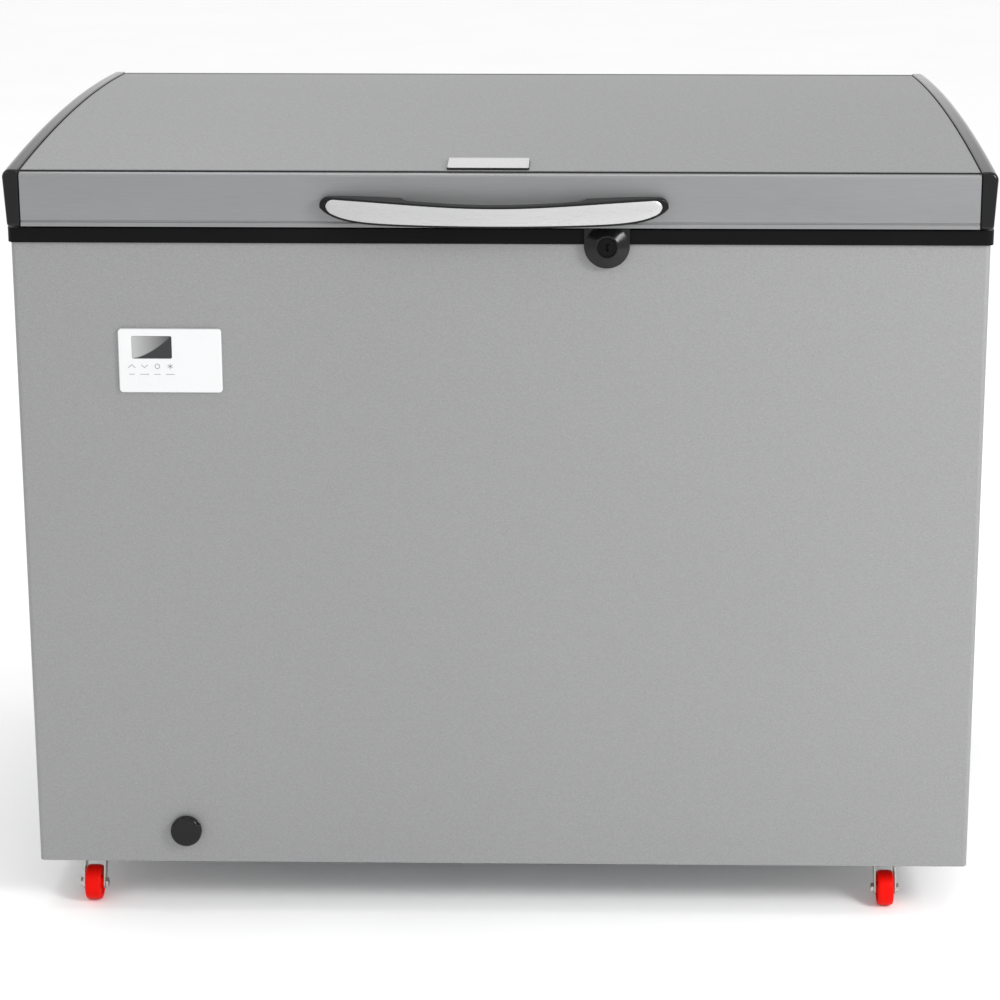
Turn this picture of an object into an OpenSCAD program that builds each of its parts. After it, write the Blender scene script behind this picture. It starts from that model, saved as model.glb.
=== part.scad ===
// Hard-top chest freezer on four swivel casters.
// Frame: +Z up, the front faces -Y, the origin is on the floor under the middle of the whole machine.

/* [Cabinet] */
// Outside width of the sheet-metal cabinet
cabinet_w = 1050; // [1000:5:1100]
// Outside depth of the sheet-metal cabinet
cabinet_d = 690; // [660:5:720]
// Height of the cabinet walls, without casters and top frame
cabinet_h = 729; // [700:1:760]
// Foam wall, from the outer sheet to the liner
wall_t = 70; // [60:1:80]
// Width of the machine bay under the inner step
bay_w = 235; // [225:5:245]
// Height of the machine bay
bay_h = 225; // [215:5:235]

/* [Lid] */
// Overall width of the lid over its side trims
lid_w = 1058; // [1008:2:1108]
// Height of the lid's straight front edge
lid_edge_h = 60; // [55:1:65]
// Rise of the cambered top above its front and rear edges
lid_crown = 12; // [8:1:16]
// Depth of the plug of the lid that reaches down inside the cabinet
lid_plug_h = 20; // [16:1:22]

/* [Handle] */
// Overall length of the bow handle
handle_w = 370; // [340:2:400]
// How far the middle of the handle stands out from the lid's front
handle_reach = 36; // [32:1:40]

/* [Casters] */
// Height from the floor to the underside of the cabinet
caster_h = 62; // [59:1:65]
// Diameter of a caster wheel
wheel_d = 40; // [38:1:42]
// Distance from the swivel axis to the axle
caster_trail = 15; // [12:1:16]

/* [Basket] */
// Width of the hanging wire basket
basket_w = 250; // [200:10:300]
// Height of the hanging wire basket
basket_h = 200; // [150:10:240]

/* [Hidden] */
$fn = 64;
eps = 0.01;

// Main planes of the cabinet
base_z = caster_h;
shell_top = base_z + cabinet_h;
half_w = cabinet_w / 2;
hinge_reach = 28;                      // rear face to the rearmost point of a hinge
fascia_step = 10;                      // the lid's front stands this far in front of the cabinet
front_y = (fascia_step + handle_reach - hinge_reach - cabinet_d) / 2;
rear_y = front_y + cabinet_d;
sheet = 0.8;                           // outer sheet metal
corner_r = 6;                          // vertical front corners
return_d = 16;                         // side returns of the front panel

// Top frame and its black outer band
frame_t = 4;
frame_top = shell_top + frame_t;
frame_band_h = 16;
frame_out = 3;
frame_lip = 2;
frame_lip_h = 10;

// Liner
liner_t = 1.2;
liner_r = 25;
liner_x = half_w - wall_t;
liner_y0 = front_y + wall_t;
liner_y1 = rear_y - wall_t;
floor_z = base_z + wall_t;
bay_x = half_w - bay_w;
bay_top = base_z + bay_h;
step_x = bay_x - 60;
step_z = bay_top + 65;
ledge_z = shell_top - 30;
ledge_w = 12;
ledge_t = 4;

// Lid
seal_gap = 3;
lid_z = frame_top + seal_gap;
lid_top = lid_z + lid_edge_h;
lid_front = front_y - fascia_step;
lid_rear = rear_y + 5;
lid_mid = (lid_front + lid_rear) / 2;
lid_len = lid_rear - lid_front;
camber_r = (pow(lid_len / 2, 2) + pow(lid_crown, 2)) / (2 * lid_crown);
camber_z = lid_top + lid_crown - camber_r;
trim_w = 18;                           // side trims of the lid
lid_x = lid_w / 2 - trim_w;            // half width between the side trims
lid_shell_t = 2.5;                     // moulded trims
panel_z = lid_z + 6;                   // underside of the lid's inner panel
panel_t = 2;
plug_gap = 16;                         // between the lid's plug and the liner
gasket_w = 14;
gasket_inset = 24;

// Hinges
hinge_x = 370;
pivot_y = rear_y + 16;
pivot_z = frame_top - 11;
pin_r = 4;
running = 0.06;                        // radial clearance of a running fit

// Lock
lock_x = 115;
lock_r = 24.5;
lock_z = frame_top - 17;
lock_plug_r = 10.3;
lock_face = front_y - 16;
cam_y = front_y - 7;
cam_t = 2.6;
cam_reach = 22.5;

// Drain
drain_x = -357;
drain_z = base_z + 38.5;
drain_y = front_y + 156;
drain_r = 8.5;
drain_tube_r = 11;

// Control panel
panel_x0 = -413;
panel_x1 = panel_x0 + 112;
panel_z0 = base_z + 551;
panel_z1 = panel_z0 + 71;
panel_proud = 3.5;
window = [panel_x0 + 15, panel_x0 + 58, panel_z1 - 32.7, panel_z1 - 8];   // x0, x1, z0, z1

// Casters: swivel axes
left_caster_x = -half_w + 55;
right_caster_x = half_w - 88;
caster_inset = 50;
casters = [
    [left_caster_x, front_y + caster_inset], [right_caster_x, front_y + caster_inset],
    [left_caster_x, rear_y - caster_inset], [right_caster_x, rear_y - caster_inset]
];
wheel_w = 18;
axle_r = 3;
king_r = 4;
fork_gap = 10.5;                       // half the space between the fork's legs
fork_t = 2;
crown_z = base_z - 7.4;                // top of the swivelling crown

// Machine bay
comp_x = bay_x + bay_w / 2 + 2;
comp_y = rear_y - 150;
comp_r = 75;
comp_z0 = base_z + 14;
comp_z1 = base_z + 192;
foot_z = comp_z0 + 6;                   // underside of the welded foot plate
foot_t = 3;
foot_reach = 86;                       // from the pot's axis to a grommet
tray_t = 2;

// Basket
wire_r = 1.8;
basket_x0 = -liner_x + 14;
basket_y0 = liner_y0 + 18;
basket_y1 = liner_y1 - 18;
basket_top = ledge_z + wire_r;
basket_z0 = basket_top - basket_h;

// ---------- helpers ----------

// Box between two corners
module block(x0, x1, y0, y1, z0, z1)
    translate([x0, y0, z0]) cube([x1 - x0, y1 - y0, z1 - z0]);

// Rectangle with round corners, from exact arcs
module round_rect(x0, x1, y0, y1, r) {
    translate([x0 + r, y0]) square([x1 - x0 - 2 * r, y1 - y0]);
    translate([x0, y0 + r]) square([x1 - x0, y1 - y0 - 2 * r]);
    for (x = [x0 + r, x1 - r], y = [y0 + r, y1 - r]) translate([x, y]) circle(r);
}

// Extrusions of a plan (XY), of a side profile (YZ) and of a front profile (XZ)
module plan(z0, z1) translate([0, 0, z0]) linear_extrude(z1 - z0) children();
module side_profile(x0, x1) translate([x0, 0, 0]) rotate([90, 0, 90]) linear_extrude(x1 - x0) children();
module front_profile(y0, y1) translate([0, y1, 0]) rotate([90, 0, 0]) linear_extrude(y1 - y0) children();

// Cylinders along X and along Y, from one coordinate to the next
module rod_x(r, x0, x1, y, z) translate([x0, y, z]) rotate([0, 90, 0]) cylinder(r = r, h = x1 - x0);
module rod_y(r, y0, y1, x, z) translate([x, y1, z]) rotate([90, 0, 0]) cylinder(r = r, h = y1 - y0);
module rod_z(r, z0, z1, x, y) translate([x, y, z0]) cylinder(r = r, h = z1 - z0);

// Unit vector, and a ring of points round p in the plane across the direction d
function unit(v) = v / norm(v);
function side_of(d) = unit(cross(d, abs(d[2]) < 0.9 ? [0, 0, 1] : [0, 1, 0]));
function ring(p, d, r, n) = let (u = side_of(d), v = cross(d, u))
    [for (i = [0 : n - 1]) p + r * (cos(360 * i / n) * u + sin(360 * i / n) * v)];
function heading(path, i) =
    unit(path[min(i + 1, len(path) - 1)] - path[max(i - 1, 0)]);

// Round bar of radius r swept along a path of points
module swept(path, r, n = 8) {
    m = len(path);
    points = [for (i = [0 : m - 1]) each ring(path[i], heading(path, i), r, n)];
    walls = [for (i = [0 : m - 2], j = [0 : n - 1])
        [i * n + j, i * n + (j + 1) % n, (i + 1) * n + (j + 1) % n, (i + 1) * n + j]];
    polyhedron(points, concat([[for (j = [n - 1 : -1 : 0]) j]], walls, [[for (j = [0 : n - 1]) (m - 1) * n + j]]));
}

// Rounds the corner b of the way a-b-c with an arc-like bend of size s
function bend(a, b, c, s, steps = 4) = let (p = b + s * unit(a - b), q = b + s * unit(c - b))
    [for (i = [0 : steps]) let (t = i / steps) pow(1 - t, 2) * p + 2 * t * (1 - t) * b + t * t * q];
function bent(way, s) = concat(
    [way[0]],
    [for (i = [1 : len(way) - 2]) each bend(way[i - 1], way[i], way[i + 1], s)],
    [way[len(way) - 1]]);

// Corner points of a rectangular spiral that climbs by pitch a turn
function spiral(x0, x1, y0, y1, z0, pitch, turns) = [for (t = [0 : turns * 4])
    [[x0, x1, x1, x0][t % 4], [y0, y0, y1, y1][t % 4], z0 + pitch * t / 4]];

// ---------- cabinet ----------

module cabinet_plan(inset) {
    r = corner_r - inset;
    difference() {
        round_rect(-half_w + inset, half_w - inset, front_y + inset, front_y + cabinet_d / 2, r);
        translate([-half_w, front_y + cabinet_d / 4]) square([cabinet_w, cabinet_d]);
    }
    translate([-half_w + inset, front_y + cabinet_d / 4])
        square([cabinet_w - 2 * inset, cabinet_d * 3 / 4 - inset]);
}

module front_panel() color("darkgray") difference() {
    plan(base_z, shell_top) difference() {
        cabinet_plan(0);
        cabinet_plan(sheet);
        translate([-half_w - 1, front_y + return_d]) square([cabinet_w + 2, cabinet_d]);
    }
    rod_y(drain_tube_r + 1, front_y - 1, front_y + 2, drain_x, drain_z);
}

module left_side_panel() color("darkgray")
    block(-half_w, -half_w + sheet, front_y + return_d, rear_y, base_z, shell_top);

grille_y0 = rear_y - 240;
grille_y1 = rear_y - 60;
grille_z0 = base_z + 30;
grille_z1 = base_z + 200;

module right_side_panel() color("darkgray") difference() {
    block(half_w - sheet, half_w, front_y + return_d, rear_y, base_z, shell_top);
    block(half_w - 2, half_w + 1, grille_y0 + 10, grille_y1 - 10, grille_z0 + 10, grille_z1 - 10);
}

hatch_edge = 12;                       // overlap of the service cover on the rear panel
hatch = [bay_x + 4, half_w - 8, base_z + 6, bay_top + 6];

module rear_panel() color("gainsboro") difference() {
    block(-half_w + sheet, half_w - sheet, rear_y - sheet, rear_y, base_z, shell_top);
    block(hatch[0] + hatch_edge, hatch[1] - hatch_edge, rear_y - 2, rear_y + 1,
          hatch[2] + hatch_edge, hatch[3] - hatch_edge);
}

module rear_service_cover() color("gainsboro") difference() {
    block(hatch[0], hatch[1], rear_y, rear_y + 1, hatch[2], hatch[3]);
    for (i = [0 : 11]) block(hatch[0] + 85, hatch[1] - 30, rear_y - 1, rear_y + 2,
                             hatch[2] + 62 + i * 11, hatch[2] + 66 + i * 11);
    rod_y(gland_neck_r, rear_y - 2, rear_y + 2, gland_x, gland_z);
}

module base_pan() color("gainsboro") intersection() {
    plan(base_z, base_z + 1) cabinet_plan(sheet);
    block(-half_w, bay_x, front_y, rear_y, base_z - 1, base_z + 2);
}

module compressor_tray() color("gainsboro") intersection() {
    plan(base_z, base_z + tray_t) cabinet_plan(sheet);
    block(bay_x, half_w, front_y, rear_y, base_z - 1, base_z + tray_t + 1);
}

// Outer form of the liner: the tub, and the shallower part over the machine bay
module liner_form(inset, top) {
    plan(step_z + inset, top)
        round_rect(-liner_x + inset, liner_x - inset, liner_y0 + inset, liner_y1 - inset, liner_r - inset);
    plan(floor_z + inset, step_z + inset + eps)
        round_rect(-liner_x + inset, step_x - inset, liner_y0 + inset, liner_y1 - inset, liner_r - inset);
}

// The foam is parted into plain blocks by hairline gaps: x0, x1, y0, y1, z0, z1 of each
split_gap = 0.05;
outer_x = half_w + 1;
outer_y0 = front_y - 1;
outer_y1 = rear_y + 1;
corner_x = liner_x - liner_r;
corner_y0 = liner_y0 + liner_r;
corner_y1 = liner_y1 - liner_r;
tub_corner_x = step_x - liner_r;
wall_rows = [[outer_y0, corner_y0], [corner_y1, outer_y1]];
foam_blocks = concat(
    [[-outer_x, bay_x, outer_y0, outer_y1, base_z, floor_z],
     [bay_x, outer_x, outer_y0, liner_y0, base_z, bay_top],
     [tub_corner_x, bay_x, corner_y0, corner_y1, floor_z, step_z],
     [bay_x, liner_x, corner_y0, corner_y1, bay_top, step_z],
     [liner_x, outer_x, corner_y0, corner_y1, bay_top, shell_top],
     [-outer_x, -corner_x, corner_y0, corner_y1, floor_z, shell_top]],
    [for (y = wall_rows) each [
        [-corner_x, tub_corner_x, y[0], y[1], floor_z, step_z],
        [-corner_x, corner_x, y[0], y[1], step_z, shell_top],
        [tub_corner_x, bay_x, y[0], y[1], floor_z, step_z],
        [bay_x, outer_x, y[0], y[1], bay_top, step_z],
        [-outer_x, -corner_x, y[0], y[1], floor_z, shell_top],
        [corner_x, outer_x, y[0], y[1], step_z, shell_top]]]);

// Block between two corners, given as a list and drawn in by half the gap on every side
module gapped_block(b) {
    g = split_gap / 2;
    block(b[0] + g, b[1] - g, b[2] + g, b[3] - g, b[4] + g, b[5] - g);
}

module cabinet_foam() color("khaki") for (b = foam_blocks) intersection() {
    foam_shape();
    gapped_block(b);
}

module foam_shape() difference() {
    plan(base_z + 1, shell_top) cabinet_plan(sheet);
    liner_form(0, shell_top + 1);
    block(bay_x, half_w, liner_y0, rear_y, base_z, bay_top);
    block(bay_x - eps, half_w, front_y, rear_y, base_z, base_z + tray_t);
    rod_z(drain_tube_r, drain_z, floor_z + 1, drain_x, drain_y);
    rod_y(drain_tube_r, front_y + 6, drain_y, drain_x, drain_z);
    rod_y(drain_tube_r + 1, front_y, front_y + 6, drain_x, drain_z);
    translate([drain_x, drain_y, drain_z]) sphere(drain_tube_r);
}

module inner_liner() color("whitesmoke") difference() {
    liner_form(0, shell_top);
    liner_form(liner_t, shell_top + 1);
    rod_z(drain_tube_r, floor_z - 1, floor_z + 3, drain_x, drain_y);
}

module top_frame() color("black") {
    plan(shell_top, frame_top) difference() {
        frame_outline();
        throat_outline(liner_t + frame_lip);
    }
    plan(frame_top - frame_band_h, shell_top) difference() {
        frame_outline();
        translate([-half_w, front_y]) square([cabinet_w, cabinet_d + 1]);
    }
    plan(shell_top - frame_lip_h, shell_top) difference() {
        throat_outline(liner_t);
        throat_outline(liner_t + frame_lip);
    }
}

module frame_outline() {
    intersection() {
        round_rect(-half_w - frame_out, half_w + frame_out, front_y - frame_out - 0.5, rear_y + 20, 9);
        translate([-half_w - 10, front_y - 10]) square([cabinet_w + 20, cabinet_d + 10]);
    }
}

module throat_outline(inset)
    round_rect(-liner_x + inset, liner_x - inset, liner_y0 + inset, liner_y1 - inset, liner_r - inset);

// Ring in four sides and four corners, and the two ledges that carry the basket
module throat_trim() color("white") {
    for (x = [[-outer_x, -corner_x], [-corner_x, corner_x], [corner_x, outer_x]],
         y = [[outer_y0, corner_y0], [corner_y0, corner_y1], [corner_y1, outer_y1]]) intersection() {
        plan(ledge_z - ledge_t, shell_top - frame_lip_h) difference() {
            throat_outline(liner_t);
            throat_outline(liner_t + frame_lip);
        }
        gapped_block([x[0], x[1], y[0], y[1], base_z, shell_top]);
    }
    for (y = [liner_y0 + liner_t + 1, liner_y1 - liner_t - 1 - ledge_w])
        block(-liner_x + 30, liner_x - 30, y, y + ledge_w, ledge_z - ledge_t, ledge_z);
}

// ---------- refrigeration ----------

module evaporator_tube() color("goldenrod")
    swept(bent(spiral(-liner_x - 5, liner_x + 5, liner_y0 - 5, liner_y1 + 5, step_z + 30, 45, 8), 22), 4);

module condenser_tube() color("peru")
    swept(bent(spiral(-half_w + 8, half_w - 8, front_y + 8, rear_y - 8, bay_top + 30, 60, 6), 20), 2.5);

// Half outline of the welded compressor pot: a wall between two elliptical domes
dome_h = 45;
function dome(z, h, a0, a1, n) = [for (i = [0 : n]) let (a = a0 + (a1 - a0) * i / n)
    [comp_r * cos(a), z + h * sin(a)]];

module compressor() color("dimgray") translate([comp_x, comp_y, 0]) {
    rotate_extrude() polygon(concat(
        [[0, comp_z0]],
        dome(comp_z0 + dome_h, dome_h, -80, 0, 8),
        dome(comp_z1 - dome_h, dome_h, 0, 80, 8),
        [[0, comp_z1]]));
    translate([0, 0, (comp_z0 + comp_z1) / 2]) cylinder(r = comp_r + 3, h = 4);
    plan(foot_z, foot_z + foot_t) difference() {
        union() {
            circle(comp_r - 5);
            for (a = foot_angles) rotate(a) translate([0, -14]) square([foot_reach + 12, 28]);
        }
        for (a = foot_angles) rotate(a) translate([foot_reach, 0]) circle(3);
    }
}

foot_angles = [45 : 90 : 315];

module compressor_grommets() color("black") translate([comp_x, comp_y, 0]) for (a = foot_angles)
    rotate(a) translate([foot_reach, 0, 0]) difference() {
        translate([0, 0, base_z + tray_t]) cylinder(r = 10, h = foot_z - base_z - tray_t);
        translate([0, 0, base_z]) cylinder(r = 3, h = 30);
    }

module relay_cover() color("black") difference() {
    block(comp_x - comp_r - 22, comp_x - comp_r + 14, comp_y - 34, comp_y + 34, comp_z0 + 50, comp_z0 + 128);
    rod_z(comp_r + 3.2, comp_z0, comp_z1, comp_x, comp_y);
}

line_z = bay_top - 16;
drier_y = comp_y - 200;

module refrigerant_lines() color("peru") {
    swept(bent([[comp_x + comp_r + 0.3, comp_y, comp_z0 + 60], [half_w - 22, comp_y, comp_z0 + 60],
                [half_w - 22, comp_y, line_z], [half_w - 22, drier_y + 105.2, line_z]], 12), 3);
    swept(bent([[comp_x, comp_y - comp_r - 0.3, comp_z0 + 60], [comp_x, comp_y - 130, comp_z0 + 60],
                [comp_x, comp_y - 130, line_z], [bay_x + 0.3, comp_y - 130, line_z]], 12), 4);
}

module filter_drier() color("peru") translate([half_w - 22, drier_y, line_z]) rotate([-90, 0, 0]) {
    cylinder(r1 = 4, r2 = 9, h = 15);
    translate([0, 0, 15]) cylinder(r = 9, h = 75);
    translate([0, 0, 90]) cylinder(r1 = 9, r2 = 4, h = 15);
}

module side_grille() color("darkslategray") difference() {
    union() {
        block(half_w, half_w + 3, grille_y0, grille_y1, grille_z0, grille_z1);
        block(half_w - sheet, half_w, grille_y0 + 10.2, grille_y1 - 10.2, grille_z0 + 10.2, grille_z1 - 10.2);
    }
    for (i = [0 : 11]) block(half_w - 2, half_w + 4, grille_y0 + 20, grille_y1 - 20,
                             grille_z0 + 20 + i * 11.4, grille_z0 + 25 + i * 11.4);
}

// ---------- controls, lock and drain ----------

module control_fascia() color("white") difference() {
    front_profile(front_y - panel_proud, front_y) round_rect(panel_x0, panel_x1, panel_z0, panel_z1, 4);
    front_profile(front_y - panel_proud - 1, front_y - panel_proud + 2)
        round_rect(window[0] - 0.2, window[1] + 0.2, window[2] - 0.2, window[3] + 0.2, 1.7);
}

module display_window() color("black")
    front_profile(front_y - panel_proud - 0.2, front_y - panel_proud + 2)
        round_rect(window[0], window[1], window[2], window[3], 1.5);

module lock_housing() color("black") difference() {
    union() {
        front_profile(front_y - 8, front_y) {
            translate([lock_x, lock_z]) circle(lock_r);
            translate([lock_x - lock_r, lock_z]) square([2 * lock_r, lid_z - lock_z - 0.7]);
        }
        translate([lock_x, front_y - 8, lock_z]) rotate([90, 0, 0])
            cylinder(r1 = lock_r - 0.5, r2 = lock_plug_r + 1.7, h = 8);
    }
    block(lock_x - 30, lock_x + 30, front_y - frame_out - 0.6, front_y + 1, frame_top - frame_band_h - 0.1, lid_z);
    rod_y(lock_plug_r + running, lock_face - 1, front_y - 7.4, lock_x, lock_z);
    rod_y(cam_reach + 0.8, cam_y - 0.6, front_y - frame_out - 0.5, lock_x, lock_z);
    block(lock_x - 30, lock_x + 30, lock_face - 1, front_y + 1, lid_z - 0.7, lid_z + 20);
}

module lock_cylinder() color("black") difference() {
    rod_y(lock_plug_r, lock_face + 1, cam_y - 0.5, lock_x, lock_z);
    block(lock_x - 0.8, lock_x + 0.8, lock_face, lock_face + 5, lock_z - 4, lock_z + 4);
}

module lock_cam() color("silver") {
    rod_y(9, cam_y - 0.5, cam_y + cam_t, lock_x, lock_z);
    block(lock_x, lock_x + cam_reach, cam_y - 0.5, cam_y + cam_t, lock_z - 3, lock_z + 3);
}

module drain_spout() color("dimgray") difference() {
    union() {
        rod_y(16.4, front_y - 4, front_y, drain_x, drain_z);
        rod_y(drain_tube_r + 1, front_y, front_y + 6, drain_x, drain_z);
    }
    rod_y(drain_r, front_y - 5, front_y + 7, drain_x, drain_z);
}

module drain_cap() color("black") difference() {
    rod_y(17.4, front_y - 9, front_y - 0.3, drain_x, drain_z);
    rod_y(16.8, front_y - 4.4, front_y, drain_x, drain_z);
    rod_y(14, front_y - 10, front_y - 8, drain_x, drain_z);
    translate([drain_x, 0, drain_z]) rotate([0, -45, 0]) block(13, 20, front_y - 10, front_y - 8, -2, 2);
}

module drain_tube() color("whitesmoke") difference() {
    union() {
        rod_z(drain_tube_r, drain_z, floor_z + liner_t, drain_x, drain_y);
        rod_y(drain_tube_r, front_y + 6, drain_y, drain_x, drain_z);
        translate([drain_x, drain_y, drain_z]) sphere(drain_tube_r);
    }
    rod_z(drain_r, drain_z, floor_z + 3, drain_x, drain_y);
    rod_y(drain_r, front_y, drain_y, drain_x, drain_z);
    translate([drain_x, drain_y, drain_z]) sphere(drain_r);
}

module liner_drain_plug() color("white") {
    rod_z(16, floor_z + liner_t + 0.4, floor_z + liner_t + 3, drain_x, drain_y);
    rod_z(drain_r - 0.5, floor_z - 8, floor_z + liner_t + 0.4, drain_x, drain_y);
    rod_z(5, floor_z + liner_t + 3, floor_z + liner_t + 9, drain_x, drain_y);
}

gland_x = bay_x + 50;
gland_z = base_z + 60;
gland_neck_r = 9;
gland_bore_r = 4.2;

module cord_gland() color("black") difference() {
    union() {
        rod_y(gland_neck_r, rear_y - 6, rear_y + 1, gland_x, gland_z);
        rod_y(12, rear_y + 1, rear_y + 9, gland_x, gland_z);
    }
    rod_y(gland_bore_r, rear_y - 7, rear_y + 10, gland_x, gland_z);
}

// ---------- hinges ----------

module hinge_brackets() color("silver") for (hx = [-hinge_x, hinge_x]) difference() {
    union() {
        block(hx - 34, hx + 34, rear_y, rear_y + 2, pivot_z - 80, shell_top - 2);
        for (x = [hx - 30, hx + 28]) side_profile(x, x + 2) {
            translate([pivot_y, pivot_z]) circle(hinge_reach - 16);
            polygon([[rear_y + 1, pivot_z - 50], [rear_y + 1, pivot_z + 6], [pivot_y, pivot_z + 6],
                     [pivot_y + 10, pivot_z - 6]]);
        }
    }
    rod_x(pin_r, hx - 40, hx + 40, pivot_y, pivot_z);
    for (x = [hx - 18, hx + 18], z = bracket_screw_z) rod_y(2, rear_y - 1, rear_y + 3, x, z);
}

bracket_screw_z = [pivot_z - 70, pivot_z - 45];

module hinge_pins() color("silver") for (hx = [-hinge_x, hinge_x]) {
    rod_x(pin_r, hx - 32, hx + 32, pivot_y, pivot_z);
    rod_x(pin_r + 2.5, hx - 34, hx - 30, pivot_y, pivot_z);
    rod_x(pin_r + 2.5, hx + 30, hx + 34, pivot_y, pivot_z);
}

// Coil round a hinge pin
function coil(x0, y, z, r, pitch, turns, steps) = [for (i = [0 : turns * steps])
    [x0 + pitch * i / steps, y + r * cos(360 * i / steps), z + r * sin(360 * i / steps)]];

module hinge_springs() color("dimgray") for (hx = [-hinge_x, hinge_x])
    swept(coil(hx - 18, pivot_y, pivot_z, 6.6, 4, 9, 12), 1.2, 6);

module hinge_arms() color("silver") for (hx = [-hinge_x, hinge_x]) difference() {
    union() {
        block(hx - 26, hx + 26, lid_rear, lid_rear + 2, lid_z + 8, lid_top - 6);
        for (x = [hx - 26, hx + 24]) side_profile(x, x + 2) {
            translate([pivot_y, pivot_z]) circle(11);
            polygon([[lid_rear, lid_z + 8], [lid_rear, lid_top - 6], [lid_rear + 6, lid_top - 6],
                     [pivot_y + 10, pivot_z + 4], [pivot_y - 4, pivot_z]]);
        }
    }
    rod_x(pin_r + running, hx - 40, hx + 40, pivot_y, pivot_z);
}

// ---------- fasteners ----------

plate_x = 26;
plate_y = 22;

module cabinet_screws() color("silver") {
    for (hx = [-hinge_x, hinge_x], x = [hx - 18, hx + 18], z = bracket_screw_z) {
        rod_y(4.5, rear_y + 2, rear_y + 4.5, x, z);
        rod_y(2, rear_y, rear_y + 2, x, z);
    }
    for (y = [grille_y0 + 6, grille_y1 - 6], z = [grille_z0 + 6, grille_z1 - 6])
        rod_x(3.5, half_w + 3, half_w + 4, y, z);
    for (x = [hatch[0] + 6, hatch[1] - 6], z = [hatch[2] + 6, hatch[3] - 6])
        rod_y(3.5, rear_y + 1, rear_y + 3, x, z);
    for (a = foot_angles) translate([comp_x, comp_y, 0]) rotate(a) translate([foot_reach, 0, base_z + tray_t]) {
        cylinder(r = 3, h = foot_z + foot_t - base_z - tray_t);
        translate([0, 0, foot_z + foot_t - base_z - tray_t]) cylinder(r = 7, h = 4, $fn = 6);
    }
    for (c = casters, dx = [-1, 1], dy = [-1, 1])
        translate([c[0] + dx * (plate_x - 6), c[1] + dy * (plate_y - 6), base_z - 6]) cylinder(r = 4.2, h = 4, $fn = 6);
}

// ---------- casters ----------

module caster_plates() color("silver") for (c = casters) difference() {
    union() {
        plan(base_z - 2, base_z) translate(c) round_rect(-plate_x, plate_x, -plate_y, plate_y, 4);
        rod_z(15, base_z - 7, base_z - 2, c[0], c[1]);
    }
    rod_z(king_r + running, base_z - 8, base_z + 1, c[0], c[1]);
}

module caster_fork(c) color("silver") translate([c[0], c[1], 0]) difference() {
    union() {
        rod_z(king_r, crown_z - 1, base_z - 0.4, 0, 0);
        rod_z(14, crown_z - 2.3, crown_z, 0, 0);
        for (x = [-fork_gap - fork_t, fork_gap]) side_profile(x, x + fork_t) {
            translate([-caster_trail, wheel_d / 2]) circle(7.5);
            polygon([[-9, crown_z - 1], [9, crown_z - 1], [10, crown_z - 8], [-caster_trail + 6.5, wheel_d / 2 - 3],
                     [-caster_trail - 6.5, wheel_d / 2 + 2]]);
        }
    }
    rod_x(axle_r, -20, 20, -caster_trail, wheel_d / 2);
}

module caster_axle(c) color("silver") translate([c[0], c[1] - caster_trail, wheel_d / 2]) {
    rod_x(axle_r, -fork_gap - fork_t, fork_gap + fork_t, 0, 0);
    translate([fork_gap + fork_t, 0, 0]) rotate([0, 90, 0]) cylinder(r = 5.4, h = 3.2, $fn = 6);
    translate([-fork_gap - fork_t - 3.8, 0, 0]) rotate([0, 90, 0]) cylinder(r = 5.4, h = 3.8, $fn = 6);
}

module caster_wheel(c) color("red") translate([c[0], c[1] - caster_trail, wheel_d / 2]) rotate([0, 90, 0])
    rotate_extrude() {
        r = wheel_d / 2;
        w = wheel_w / 2;
        polygon([[axle_r + running, -w - 1], [7, -w - 1], [7.5, -w + 2], [r - 5, -w + 2], [r - 4, -w],
                 [r - 1.5, -w], [r - 0.4, -w + 1.4], [r, -w + 4], [r, w - 4], [r - 0.4, w - 1.4],
                 [r - 1.5, w], [r - 4, w], [r - 5, w - 2], [7.5, w - 2], [7, w + 1], [axle_r + running, w + 1]]);
    }

module caster_fork_front_left() caster_fork(casters[0]);
module caster_fork_front_right() caster_fork(casters[1]);
module caster_fork_rear_left() caster_fork(casters[2]);
module caster_fork_rear_right() caster_fork(casters[3]);
module caster_axle_front_left() caster_axle(casters[0]);
module caster_axle_front_right() caster_axle(casters[1]);
module caster_axle_rear_left() caster_axle(casters[2]);
module caster_axle_rear_right() caster_axle(casters[3]);
module caster_wheel_front_left() caster_wheel(casters[0]);
module caster_wheel_front_right() caster_wheel(casters[1]);
module caster_wheel_rear_left() caster_wheel(casters[2]);
module caster_wheel_rear_right() caster_wheel(casters[3]);

// ---------- lid ----------

// Side profile under the cambered top, lowered by drop, between two Y and above z0
module under_camber(drop, y0, y1, z0) intersection() {
    translate([lid_mid, camber_z]) circle(camber_r - drop, $fn = 512);
    translate([y0, z0]) square([y1 - y0, lid_top + lid_crown + 10 - z0]);
}

fascia_lip = 7;                        // depth of the fascia's top lip behind its face
rear_lip = 12;

module lid_top_skin() color("darkgray") side_profile(-lid_x, lid_x) difference() {
    under_camber(0, lid_front + fascia_lip, lid_rear - rear_lip, lid_top - 2);
    under_camber(1, lid_front, lid_rear, lid_top - 3);
}

module fascia_outline(inset) {
    difference() {
        under_camber(inset, lid_front + inset, lid_front + 40, lid_z + inset);
        translate([lid_front + inset, lid_top - 5]) square([5 - inset, 10]);
    }
    translate([lid_front + 5, lid_top - 5]) circle(5 - inset);
}

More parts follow.
